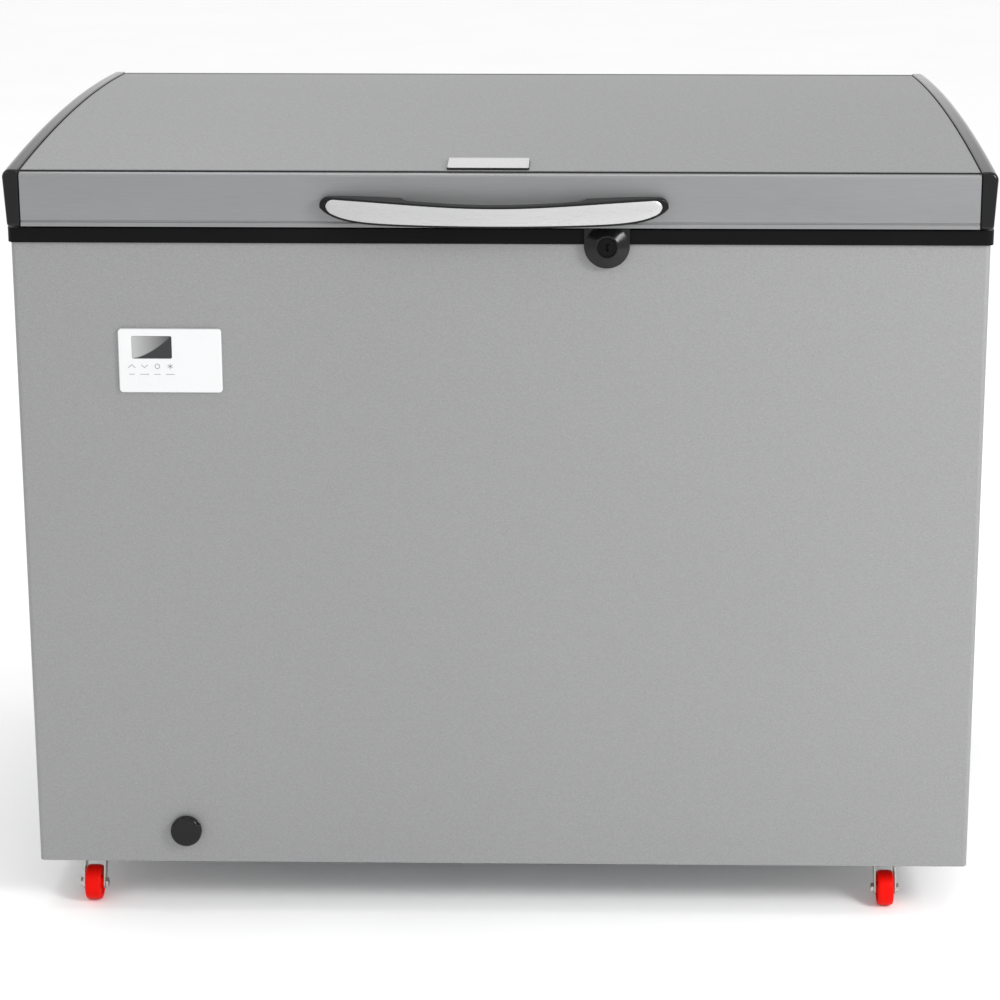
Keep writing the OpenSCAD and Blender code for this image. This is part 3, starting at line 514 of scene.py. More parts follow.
def smoothing_group():
    """Modifier group: drops the imported normals, and shades smooth except over sharp edges."""
    group = bpy.data.node_groups.new("shade_by_angle", "GeometryNodeTree")
    group.interface.new_socket("Geometry", in_out="INPUT", socket_type="NodeSocketGeometry")
    group.interface.new_socket("Geometry", in_out="OUTPUT", socket_type="NodeSocketGeometry")
    new, link = group.nodes.new, group.links.new
    start, end = new("NodeGroupInput"), new("NodeGroupOutput")
    drop = new("GeometryNodeRemoveAttribute")
    drop.inputs["Name"].default_value = "custom_normal"
    faces = new("GeometryNodeSetShadeSmooth")
    angle = new("GeometryNodeInputMeshEdgeAngle")
    sharp = new("FunctionNodeCompare")
    sharp.operation = "GREATER_THAN"
    sharp.inputs["B"].default_value = math.radians(SHARP)
    edges = new("GeometryNodeSetShadeSmooth")
    edges.domain = "EDGE"
    edges.inputs["Shade Smooth"].default_value = False
    link(start.outputs[0], drop.inputs["Geometry"])
    link(drop.outputs["Geometry"], faces.inputs["Geometry"])
    link(faces.outputs["Geometry"], edges.inputs["Geometry"])
    link(angle.outputs["Unsigned Angle"], sharp.inputs["A"])
    link(sharp.outputs["Result"], edges.inputs["Selection"])
    link(edges.outputs["Geometry"], end.inputs[0])
    return group


smoothing = smoothing_group()


def dress(name, material, edge):
    """A CAD node's material, with its edges eased by edge millimetres."""
    obj = nodes[name]
    obj.data.materials.clear()
    obj.data.materials.append(material)
    weld = obj.modifiers.new("weld", "WELD")
    weld.merge_threshold = WELD_GAP
    if edge:
        bevel = obj.modifiers.new("edge", "BEVEL")
        bevel.width, bevel.segments, bevel.limit_method = edge * MM, 2, "ANGLE"
        bevel.angle_limit = math.radians(40)
        bevel.use_clamp_overlap = True
    obj.modifiers.new("shade", "NODES").node_group = smoothing
    flatten(obj)


KEPT = {
    cabinet_paint: ("front_panel", "left_side_panel", "right_side_panel"),
    zinc_sheet: ("rear_panel", "base_pan", "compressor_tray"),
    foam: ("cabinet_foam", "lid_foam"),
    black_satin: ("top_frame", "relay_cover", "side_grille", "cord_gland", "lid_rear_trim",
                  "drain_spout"),
    white_plastic: ("throat_trim", "liner_drain_plug", "drain_tube"),
    clear_lens: ("lamp_lens",),
    copper: ("evaporator_tube", "condenser_tube", "refrigerant_lines", "filter_drier"),
    pot_black: ("compressor",),
    rubber_black: ("compressor_grommets",),
    zinc_plated: ("lock_cam", "hinge_brackets", "hinge_pins", "hinge_arms"),
    spring_steel: ("hinge_springs",),
}
EASED = {  # millimetres; 0 leaves the edges as they are
    0: ("cabinet_foam", "lid_foam", "evaporator_tube", "condenser_tube", "refrigerant_lines",
        "hinge_springs", "drain_tube"),
    0.2: ("rear_panel", "base_pan"),
    0.25: ("front_panel", "left_side_panel", "right_side_panel"),
    0.7: ("side_grille",),
    0.8: ("filter_drier",),
    1.0: ("top_frame",),
    1.2: ("compressor",),
    1.5: ("lamp_lens",),
    2.0: ("relay_cover",),
}
USUAL_EDGE = 0.4
edges = {name: edge for edge, names in EASED.items() for name in names}
for material, names in KEPT.items():
    for name in names:
        dress(name, material, edges.get(name, USUAL_EDGE))


# ---------- lid ----------


def make_lid_top():
    """Cambered sheet with its edges turned down."""
    x, drop = lid_x - 0.7, 5.0
    y0, y1 = lid_front + 8.0, lid_rear - 12.6

    def ring(y, fall):
        z = camber(y) - fall
        side = [(x - 1.2, z), (x - 0.35, z - 0.3), (x, z - 1.1), (x, camber(y) - drop)]
        return [(-a, y, b) for a, b in side][::-1] + [(a, y, b) for a, b in side]

    steps = 56
    ys = [(y0, 1.1), (y0 + 0.35, 0.3)]
    ys += [(y0 + 1.2 + (y1 - y0 - 2.4) * i / steps, 0) for i in range(steps + 1)]
    ys += [(y1 - 0.35, 0.3), (y1, 1.1)]
    Shape().rings([ring(y, fall) for y, fall in ys]).piece(
        "lid_top_sheet", lid_paint, "lid", ["lid_top_skin"])

    # Dark strips in the joints round the sheet: painted shade, a dark sheet laid where the seams
    # are only in shadow; they also hide the foam behind the gaps
    seam_shade = Shape()
    for a, b in ((-lid_x - 0.2, -x - 0.02), (x + 0.02, lid_x + 0.2)):
        corners = ((a, drop), (b, drop), (b, 0.7), (a, 0.7))
        seam_shade.rings([[(u, y, camber(y) - d) for u, d in corners] for y, _ in ys])
    front = [(1.2, drop), (0.02, drop), (0.02, 0.35), (0.9, 0.35), (1.2, 0.65)]
    seam_shade.swept_x([(y0 - v, lid_top - d) for v, d in front], -lid_x + 0.4, lid_x - 0.4)
    seam_shade.piece("lid_seam_shade_strips", rubber_black, "lid", slot="black_gloss")


def make_fascia():
    """Front moulding: a lip below, a fine groove, and a rounded top edge."""
    f, z, t = lid_front, lid_z, lid_top
    corner = arc(f + 4.5, t - 6.4, 4.5, 180, 92, 10)
    lip = [(f + 22, z), (f - 0.4, z), (f - 0.85, z + 0.15), (f - LIP, z + 0.6), (f - LIP, z + 4.0)]
    groove = [(f - 0.8, z + 4.45), (f - 0.3, z + 4.6), (f + 0.9, z + 4.75), (f + 0.9, z + 6.1),
              (f + 0.35, z + 6.3), (f + 0.05, z + 6.7), (f, z + 7.2)]
    back = [(f + 6.9, t - 1.9), (f + 6.9, t - 5.2), (f + 4.6, t - 6.6), (f + 2.6, t - 9),
            (f + 2.5, z + 2.5), (f + 22, z + 2.5)]
    fascia = Shape().swept_x(lip + groove + corner + back, -lid_x + 0.3, lid_x - 0.3).piece(
        "lid_fascia", fascia_grey, "lid", ["lid_front_fascia"], sharp=30)
    low, high = span("lock_cam")
    carve(fascia, brick(low.x + 3.5, low.x + 22, low.y - 1.5, high.y + 2, z - 2, z + 4.2), 30)


def make_side_trims():
    """Glossy end mouldings: a big outer radius, a wall leaning in below, rounded ends."""
    width, y0, y1 = lid_half - lid_x, lid_front - 1.5, lid_rear + 1.5
    lean, big, end = 3.0, 9.0, 4.0

    def section(top):
        return ([(0.25, lid_z + 0.8), (0.9, lid_z)]
                + arc(width - lean - 2.5, lid_z + 2.5, 2.5, -90, -3, 4)
                + arc(width - big, top - big, big, 2, 90, 12)
                + arc(1.9, top - 1.6, 1.6, 90, 180, 4))

    def ring(y, d, sign):
        top = camber(min(max(y, lid_front), lid_rear)) + 1.5
        cu, cv = width / 2, (lid_z + top) / 2
        shrink_u, shrink_v = 1 - d / cu, 1 - d / (top - cv)
        points = [(cu + (u - cu) * shrink_u, cv + (v - cv) * shrink_v) for u, v in section(top)]
        return [(sign * (lid_x + u), y, v) for u, v in points]

    turn = [math.pi / 2 * i / 6 for i in range(7)]
    front = [(y0 + end * (1 - math.cos(t)), end * 0.85 * (1 - math.sin(t))) for t in turn]
    rear = [(y1 - end * (1 - math.cos(t)), end * 0.85 * (1 - math.sin(t))) for t in reversed(turn)]
    middle = [(y0 + end + (y1 - y0 - 2 * end) * i / 40, 0) for i in range(1, 40)]
    for side, sign in (("left", -1), ("right", 1)):
        rings = [ring(y, d, sign) for y, d in front + middle + rear]
        stood_for = ["lid_side_trims"] if side == "left" else []
        Shape().rings(rings).piece("lid_trim_" + side, black_gloss, "lid", stood_for, sharp=40)


def make_lid_liner():
    """Inner panel with its plug: rolled edges and a shallow pressed field."""
    low, high = span("lid_inner_panel")
    x, margin = -low.x, WALL + LINER_T + PLUG_GAP
    px, py0, py1 = half_w - margin, front_y + margin, rear_y - margin
    flange_z, corner_r, bead_r = high.z - 2, 20, 8
    flange = round_rect(-x, x, low.y, high.y, 1.0)
    plug = round_rect(-px, px, py0, py1, corner_r)
    steps = [(-3, flange_z), (-1, flange_z - 0.6), (0, flange_z - 2.6)]
    steps += [(d, low.z + h) for d, h in
              ((0, 6), (0.8, 3), (2.6, 0.9), (6, 0), (30, 0), (31, -0.25), (33, -0.95), (35, -1.2),
               (37, -0.95), (39, -0.1), (41, 0.4), (44, 0.5))]
    rings = [[(u, v, h) for u, v in flange] for h in (high.z, flange_z)]
    for d, h in steps:
        outline = (inset(plug, d) if d < corner_r else
                   round_rect(-px + d, px - d, py0 + d, py1 - d, bead_r))
        rings.append([(u, v, h) for u, v in outline])
    Shape().rings(rings).piece("lid_liner", liner_white, "lid", ["lid_inner_panel"], sharp=40)


def make_gasket():
    """Magnetic door seal: a pillow below, a bellows fold above."""
    low, high = span("lid_gasket")
    z0, z1 = low.z, high.z
    outside = [(0.6, z0), (0, z0 + 0.8), (0, z0 + 3.0), (1.6, z0 + 3.9), (2.4, z0 + 4.8),
               (0.8, z0 + 6.2), (0.4, z1)]
    inside = [(13.2, z1), (13.2, z0 + 6.6), (11.2, z0 + 5.0), (12.2, z0 + 3.9), (13.6, z0 + 3.0),
              (13.6, z0 + 0.8), (13.0, z0)]
    rings = []
    for d, h in outside + inside:
        outline = round_rect(low.x + d, high.x - d, low.y + d, high.y - d, max(12 - d, 2))
        rings.append([(u, v, h) for u, v in outline])
    Shape().rings(rings, loop=True).piece(
        "gasket_bellows", gasket_grey, "lid", ["lid_gasket"], sharp=40)


def make_badge():
    """Blank domed plate: a dark base and a satin face with a raised border."""
    low, high = span("badge_plate")
    x0, x1, y0, y1 = low.x, high.x, low.y, high.y

    def lifted(outline, steps):
        return [[(u, v, camber(v) + h) for u, v in inset(outline, d)] for d, h in steps]

    def subdivided(r, d=0.0):
        points = round_rect(x0 + d, x1 - d, y0 + d, y1 - d, r, 4)
        made = []
        for i, p in enumerate(points):
            q = points[(i + 1) % len(points)]
            parts = 6 if math.dist(p, q) > 10 else 1
            made += [(p[0] + (q[0] - p[0]) * k / parts, p[1] + (q[1] - p[1]) * k / parts)
                     for k in range(parts)]
        return made

    Shape().rings(lifted(subdivided(3), [(0, 0.02), (0, 1.7), (0.3, 2.2), (0.9, 2.4)])).piece(
        "badge_base", black_gloss, "lid", ["badge_plate"])
    margin = 0.7
    border = [(0, 2.2), (0, 2.7), (0.35, 3.05), (1.0, 3.15), (1.8, 3.15), (1.9, 2.95)]
    rings = lifted(subdivided(2.6, margin), border)
    for d, h in ((2.5, 2.9), (6, 3.1), (10, 3.2)):
        rings.append([(u, v, camber(v) + h) for u, v in subdivided(1.2, margin + d)])
    Shape().rings(rings).piece("badge_face", silver_satin, "lid")


# ---------- handle ----------

base_lo, base_hi = span("handle_base")
handle_x = (base_lo.x + base_hi.x) / 2
handle_half = (base_hi.x - base_lo.x) / 2
insert_half = handle_half - 6.6
handle_low = span("handle_insert")[0].z
handle_front = base_lo.y
TIP_RISE, INSERT_H, EAR_RISE = 17.6, 20.4, 5.5  # heights over the insert's lowest point
RIM, BOW = 1.4, 24.0  # rim of the base round the insert, and depth of the bow in plan
bow_r = (handle_half**2 + BOW**2) / (2 * BOW)


def blunt(s, r):
    """1 at a tip, falling to 0 along a quarter circle of radius r; s is the way from the tip."""
    return 1 - math.sqrt(1 - (1 - max(s, 0) / r) ** 2) if s < r else 0.0


def low_edge(x, half, sweep):
    """Lower edge: nearly level, sweeping up towards a rounded tip."""
    s = half - abs(x)
    return sweep * math.exp(-s / 18.5) + (TIP_RISE - sweep) * blunt(s, 5.5)


def high_edge(x, half):
    """Upper edge: dips in the middle, and is rounded off at the tips."""
    crest = INSERT_H + EAR_RISE * math.sin(math.pi / 2 * min(abs(x) / 175, 1)) ** 2
    return crest - (INSERT_H + EAR_RISE - TIP_RISE) * blunt(half - abs(x), 9.0)


def bow_y(x):
    """Front of the handle in plan."""
    return handle_front + bow_r - math.sqrt(bow_r**2 - x * x)


def bar_section(y_front, y_back, z0, z1, r_front, r_back):
    """Rounded section in YZ, run the same way round for every x."""
    n = 5
    r_front = min(r_front, (z1 - z0) / 2.02, (y_back - y_front) / 2.02)
    r_back = min(r_back, (z1 - z0) / 2.02, (y_back - y_front) / 2.02)
    return (arc(y_front + r_front, z0 + r_front, r_front, 270, 180, n)
            + arc(y_front + r_front, z1 - r_front, r_front, 180, 90, n)
            + arc(y_back - r_back, z1 - r_back, r_back, 90, 0, n)
            + arc(y_back - r_back, z0 + r_back, r_back, 0, -90, n))


def make_handle():
    thick, foot_in, foot_out, fillet, heel = 16.0, 98.0, 165.0, 13.0, 9.0

    def back_y(x):
        """Back of the bar in plan: it swings out to the lid at the two feet."""
        x = abs(x)
        bar = bow_y(x) + thick * min(1.0, math.sqrt(max(handle_half - x, 0.02) / 10))
        bar = min(bar, lid_front - 1.5)
        if x < foot_in:
            t = min((foot_in - x) / fillet, 1.0)
            return lid_front + (bar - lid_front) * (1 - (1 - t) ** 2.6) ** 0.5
        if x > foot_out:
            t = min((x - foot_out) / heel, 1.0)
            return lid_front + (bar - lid_front) * (1 - (1 - t) ** 2.2) ** 0.6
        return lid_front

    stops = {round(handle_half * math.sin(math.radians(a)), 3) for a in range(0, 91, 3)}
    stops |= {round(handle_half - d, 3) for d in (0.05, 0.3, 0.8, 1.6, 2.8, 4.5, 6.5, 9, 12)}
    stops |= {foot_in - fillet * k / 10 for k in range(11)}
    stops |= {foot_out + heel * k / 8 for k in range(9)} | {105.0, 120.0, 135.0, 150.0}
    xs = sorted({-s for s in stops} | stops)
    rings = []
    for x in xs:
        z0 = handle_low + low_edge(x, handle_half, 16.0) - RIM
        z1 = handle_low + high_edge(x, handle_half) + RIM
        section = bar_section(bow_y(x) + 1.1, back_y(x), z0, z1, 2.4, 3.2)
        rings.append([(handle_x + x, y, z) for y, z in section])
    Shape().rings(rings).piece(
        "handle_bow", black_moulding, "lid", ["handle_base"], "black_gloss", 50)

    # The cover: a shallow crowned shell let into the bar's front
    stops = {round(insert_half * math.sin(math.radians(a)), 3) for a in range(0, 90, 3)}
    stops |= {round(insert_half - d, 3) for d in (0.05, 0.3, 0.8, 1.6, 2.8, 4.5, 6.5)}
    xs = sorted({-s for s in stops} | stops)
    rings = []
    for x in xs:
        z0 = handle_low + low_edge(x, insert_half, 12.5)
        z1 = handle_low + high_edge(x, insert_half)
        mid, half = (z0 + z1) / 2, max((z1 - z0) / 2, 0.02)
        y = bow_y(x)
        edge = 0.35 if half > 2 else 0.35 * half / 2
        crown = min(1.15, 1.15 * half / 8)
        face = []
        for k in range(-8, 9):
            s = math.sin(math.radians(90 * k / 8))
            face.append((y + 1.2 - crown * (1 - s * s) ** 0.8 + edge * abs(s) ** 6, mid + half * s))
        back = [(y + 3.0, mid + half * 0.98), (y + 3.0, mid - half * 0.98)]
        rings.append([(handle_x + x, yy, zz) for yy, zz in face + back])
    Shape().rings(rings).piece("handle_cover", silver_satin, "lid", ["handle_insert"], sharp=50)


# ---------- lock ----------


def make_lock():
    low, high = span("lock_housing")
    r = (high.x - low.x) / 2
    x, z, top = (low.x + high.x) / 2, low.z + r, high.z
    band_y, plate_y = front_y - 3.65, front_y - 8
    outline = arc(x, z, r, 180, 360, 40)
    outline += [(x + r, z + 6), (x + r, top - 0.6), (x + r - 0.6, top), (x - r + 0.6, top),
                (x - r, top - 0.6), (x - r, z + 6)]
    plate = Shape().stack(outline, rolled(0, band_y - plate_y, 0, 0.9), facing_front(band_y))
    band_low = frame_top - 16.4
    a = math.degrees(math.asin((band_low - z) / r))
    lower = arc(x, z, r, 180 - a, 360 + a, 40)
    plate.stack(lower, [(0, 0), (0, front_y - band_y + 0.2)], facing_front(front_y))
    bore, rim = 10.5, 12.2
    cone = [(r - 0.9, 0.0), (r - 1.0, 0.25), (r - 1.5, 0.55), (rim + 0.9, 7.5), (rim, 7.85),
            (bore + 1.1, 8.0), (bore + 0.5, 7.85), (bore, 7.4), (bore, 0.5), (r - 2, 0.0)]
    plate.turned(x, z, cone, facing_front(plate_y), 72, loop=True)
    bezel = plate.piece("lock_bezel", black_gloss, "cabinet", ["lock_housing"], sharp=28)
    cam_lo, cam_hi = span("lock_cam")
    pocket_r, pocket_y = cam_hi.x - x + 0.8, front_y - 3.5
    pocket = [(pocket_r, 0), (pocket_r, pocket_y - cam_lo.y + 0.15)]
    carve(bezel, Shape().turned(x, z, pocket, facing_front(pocket_y), 40), 28)

    plug_r = span("lock_cylinder")[1].x - x
    front = low.y + 1
    face = [(plug_r, -9), (plug_r, -0.6), (plug_r - 0.25, -0.2), (plug_r - 0.8, 0), (7.4, 0),
            (7.1, -0.25), (6.7, -0.25), (6.4, 0), (0, 0.05)]
    barrel = Shape().turned(x, z, face, facing_front(front), 56).piece(
        "lock_barrel", black_satin, "lock", ["lock_cylinder"], "black_gloss", 30)
    keyway = round_rect(x - 0.8, x + 0.8, z - 4, z + 4, 0.7, 3)
    carve(barrel, Shape().stack(keyway, [(0, -3.5), (0, 1)], facing_front(front)), 30)


# ---------- control plate ----------


def make_controls():
    low, high = span("control_fascia")
    w_low, w_high = span("display_window")
    outline = round_rect(low.x, high.x, low.z, high.z, 4, 8)
    plate = Shape().stack(
        outline, rolled(0.02, front_y - low.y, 0, 1.3, 5), facing_front(front_y)).piece(
        "control_plate", white_plastic, "cabinet", ["control_fascia"])
    gap = 0.25
    hole = round_rect(w_low.x - gap, w_high.x + gap, w_low.z - gap, w_high.z + gap, 1.5 + gap, 5)
    carve(plate, Shape().stack(hole, [(0, -2), (0, 2)], facing_front(low.y)))
    lens = round_rect(w_low.x, w_high.x, w_low.z, w_high.z, 1.5, 5)
    Shape().stack(lens, rolled(-1.9, 0.2, 0, 0.35), facing_front(low.y)).piece(
        "display_lens", smoked_window, "cabinet", ["display_window"])

    # Generic key marks: up, down, set and snow, with a short dash under each
    y, z = low.y - 0.02, high.z - 41.5
    marks = Shape()

    def stroke(points, r=0.3):
        marks.tube([(u, y, v) for u, v in points], r, 6)

    xs = [low.x + 14.2 + 13.9 * i for i in range(4)]
    stroke([(xs[0] - 3.6, z - 1.6), (xs[0], z + 1.8), (xs[0] + 3.6, z - 1.6)])
    stroke([(xs[1] - 3.4, z + 1.4), (xs[1], z - 1.5), (xs[1] + 3.4, z + 1.4)])
    ring = arc(xs[2], z, 2.5, 0, 360, 20)[:-1]
    marks.tube([(u, y, v) for u, v in ring], 0.3, 6, closed=True)
    for a in (0, 60, 120):
        u, v = polar(3.0, a + 90)
        stroke([(xs[3] - u, z - v), (xs[3] + u, z + v)], 0.28)
    for x, half in zip(xs, (2.6, 4.6, 3.2, 4.6)):
        stroke([(x - half, z - 8.9), (x + half, z - 8.9)], 0.26)
    marks.piece("control_marks", icon_ink, "cabinet", slot="smoked_window")


# ---------- drain ----------


def make_drain_cap():
    """Hollow cap with a rounded shoulder, a shallow dish and a notch in its rim."""
    low, high = span("drain_cap")
    x, z, r = (low.x + high.x) / 2, (low.z + high.z) / 2, (high.x - low.x) / 2
    depth = high.y - low.y
    place = facing_front(high.y)
    profile = [(r - 0.7, 0), (r, 0.7), (r, depth - 3.0), (r - 0.25, depth - 1.9),
               (r - 0.85, depth - 0.95), (r - 1.8, depth - 0.3), (r - 2.9, depth),
               (r - 3.7, depth - 0.3), (r - 5.5, depth - 0.55), (r - 10, depth - 0.5),
               (0, depth - 0.4)]
    cap = Shape().turned(x, z, profile, place, 72).piece(
        "drain_cap_moulding", black_gloss, "drain_cap", ["drain_cap"], sharp=30)
    u, v = polar(r + 0.7, 36)
    carve(cap, Shape().turned(x + u, z + v, [(2.4, -1.0), (2.7, 12)], place, 20), 30)
    inner_r, lip = 16.7, 4.1
    carve(cap, Shape().turned(x, z, [(inner_r, -1), (inner_r, lip)], place, 48), 30)


# ---------- casters ----------


CORNERS = ("front_left", "front_right", "rear_left", "rear_right")
TRAIL = 15  # from a wheel's axle to its swivel axis, in plan


def nut(shape, u, v, r, h0, h1, place):
    """Adds a hexagon with chamfered corners."""
    hexagon = [(u + a, v + b) for a, b in (polar(r, 60 * i + 30) for i in range(6))]
    shape.stack(hexagon, [(0.5, h0), (0, h0 + 0.35), (0, h1 - 0.35), (0.5, h1)], place)


def caster_centre(corner):
    """Swivel axis of a caster in plan."""
    low, high = span("caster_wheel_" + corner)
    return (low.x + high.x) / 2, (low.y + high.y) / 2 + TRAIL


def make_caster(corner):
    """Wheel with a hub and a rounded tread, pressed fork, and axle bolt with its nut."""
    low, high = span("caster_wheel_" + corner)
    cx, cy = caster_centre(corner)
    wy, wz = (low.y + high.y) / 2, (low.z + high.z) / 2
    r = high.z - wz
    hub, w = (high.x - low.x) / 2, 9.0
    half = [(3.2, -hub), (6.6, -hub), (7.0, -hub + 0.4), (7.2, -w + 2.2), (8.0, -w + 2.0),
            (11.5, -w + 2.4), (14.6, -w + 2.0), (15.4, -w + 1.2), (16.0, -w + 0.25), (17.0, -w),
            (18.0, -w + 0.2), (19.0, -w + 1.0), (19.6, -w + 2.2), (r - 0.1, -w + 4), (r, -2.5)]
    profile = half + [(a, -b) for a, b in reversed(half)]
    Shape().turned(wy, wz, profile, along_x(cx), 64, loop=True).piece(
        "wheel_" + corner + "_tyre", wheel_red, "wheel_" + corner, ["caster_wheel_" + corner],
        sharp=32)

    gap, t, crown = 10.5, 2.0, base_z - 7.4
    arms = [(wy - 7.3, wz + 1.5)] + arc(wy, wz, 7.5, 190, 345, 14)
    arms += [(cy + 9.6, crown - 9), (cy + 9, crown - 1), (cy - 9, crown - 1)]
    fork = Shape()
    for x in (cx - gap - t, cx + gap):
        fork.stack(arms, [(0.35, 0), (0, 0.4), (0, t - 0.4), (0.35, t)], along_x(x))
    head = [(0, crown - 2.3), (13.2, crown - 2.3), (14, crown - 1.6), (14, crown - 0.6),
            (13.4, crown), (5.2, crown), (4.0, crown + 0.4), (4.0, base_z - 0.8), (0, base_z - 0.4)]
    fork.turned(cx, cy, head, n=40)
    fork.piece("fork_" + corner + "_sheet", zinc_plated, "swivel_" + corner,
               ["caster_fork_" + corner], sharp=30)

    out = gap + t
    axle = Shape().turned(wy, wz, [(3, -out), (3, out)], along_x(cx), 24)
    nut(axle, wy, wz, 5.4, out + 0.1, out + 3.2, along_x(cx))
    tip = [(3, out + 3.0), (3, out + 3.1), (2.6, out + 3.2), (0, out + 3.2)]
    axle.turned(wy, wz, tip, along_x(cx), 24)
    nut(axle, wy, wz, 5.4, -out - 3.8, -out - 0.1, along_x(cx))
    axle.piece("axle_" + corner + "_bolt", zinc_plated, "swivel_" + corner,
               ["caster_axle_" + corner], sharp=30)


def make_caster_plates():
    """Mounting plates with the swivels' races pressed into them."""
    plates = Shape()
    for corner in CORNERS:
        x, y = caster_centre(corner)
        plates.stack(round_rect(x - 26, x + 26, y - 22, y + 22, 4, 5),
                     rolled(base_z - 2, base_z, 0.4, 0.4))
        race = [(4.1, base_z - 7), (12.8, base_z - 7), (14.6, base_z - 6.2), (15, base_z - 4.6),
                (14.8, base_z - 3), (15.6, base_z - 1.9), (4.1, base_z - 1.9)]
        plates.turned(x, y, race, n=40, loop=True)
    plates.piece("caster_plates_pressed", zinc_plated, "cabinet", ["caster_plates"], sharp=30)


# ---------- fasteners ----------


HINGES_X = (-370, 370)


def make_screws():
    """Cross-recessed pan heads on the sheets; hexagons under the casters and the compressor."""
    head = [(4.4, 0), (4.5, 0.6), (4.1, 1.4), (3.0, 2.05), (1.6, 2.38), (0, 2.45)]
    obj = Shape().turned(0, 0, head, n=28).piece("screw_pattern", zinc_plated, "cabinet")
    for half_u, half_v in ((2.3, 0.45), (0.45, 2.3)):
        carve(obj, brick(-half_u, half_u, -half_v, half_v, 1.1, 4))
    pattern = Shape()
    pattern.points = [tuple(v.co / MM) for v in obj.data.vertices]
    pattern.faces = [tuple(p.vertices) for p in obj.data.polygons]
    bpy.data.objects.remove(obj)

    pans = Shape()

    def pan(x, y, z, toward, size=1.0):
        turn = Vector((0, 0, 1)).rotation_difference(Vector(toward)).to_matrix().to_4x4()
        pans.moved(pattern, Matrix.Translation((x, y, z)) @ turn @ Matrix.Scale(size, 4))

    pivot_z = frame_top - 11
    for hinge_x in HINGES_X:
        for x in (hinge_x - 18, hinge_x + 18):
            for z in (pivot_z - 70, pivot_z - 45):
                pan(x, rear_y + 2, z, (0, 1, 0))
    low, high = span("side_grille")
    for y in (low.y + 6, high.y - 6):
        for z in (low.z + 6, high.z - 6):
            pan(half_w + 3, y, z, (1, 0, 0), 0.4)
    low, high = span("rear_service_cover")
    for x in (low.x + 6, high.x - 6):
        for z in (low.z + 6, high.z - 6):
            pan(x, rear_y + 1, z, (0, 1, 0), 0.8)
    pans.piece("screws_pan", zinc_plated, "cabinet", ["cabinet_screws"], sharp=30)

    bolts = Shape()
    washer = [(5.6, base_z - 2.05), (5.6, base_z - 2.6), (5.2, base_z - 2.9), (0, base_z - 2.9)]
    for corner in CORNERS:
        cx, cy = caster_centre(corner)
        for dx in (-20, 20):
            for dy in (-16, 16):
                bolts.turned(cx + dx, cy + dy, washer, n=24)
                nut(bolts, cx + dx, cy + dy, 4.2, base_z - 6, base_z - 2.8, plan)
    low, high = span("compressor")
    cx, cy = (low.x + high.x) / 2, (low.y + high.y) / 2
    top = base_z + 23
    stud = [(3, base_z + 2.5), (3, top), (8.5, top), (8.5, top + 0.9), (3, top + 1)]
    for a in (45, 135, 225, 315):
        u, v = polar(86, a)
        bolts.turned(cx + u, cy + v, stud, n=24)
        nut(bolts, cx + u, cy + v, 7, top + 1, top + 4, plan)
    bolts.piece("bolts_hex", zinc_plated, "cabinet", sharp=30)


# ---------- rear cover ----------


def make_service_cover():
    """Zinc sheet with pressed louvres over the machine bay."""
    low, high = span("rear_service_cover")
    cover = Shape().stack(round_rect(low.x, high.x, low.z, high.z, 3, 4),
                          rolled(0.02, 1, 0, 0.3), facing_back(rear_y))
    # A louvre's section: the depth that it starts from, its full swelling, and its height
    hood = [(0.9, 0, 7.2), (0.95, 0.9, 6.2), (1, 2.3, 4.0), (1, 3.1, 1.4), (1, 3.3, -0.4),
            (1, 2.5, -0.4), (0.95, 1.6, 3.6), (0.92, 0.3, 6.0), (0.85, 0, 6.2)]
    ends = ((0, 0.02), (1, 0.45), (3, 0.8), (6, 1))
    x0, x1 = low.x + 85, high.x - 30
    stops = [(x0 + d, s) for d, s in ends] + [(x1 - d, s) for d, s in reversed(ends)]
    for i in range(12):
        z = low.z + 62 + 11 * i
        cover.rings([[(x, rear_y + y + swell * s, z + h) for y, swell, h in hood]
                     for x, s in stops])
    cover.piece("service_cover_sheet", zinc_sheet, "cabinet", ["rear_service_cover"], sharp=34)


# ---------- inside ----------


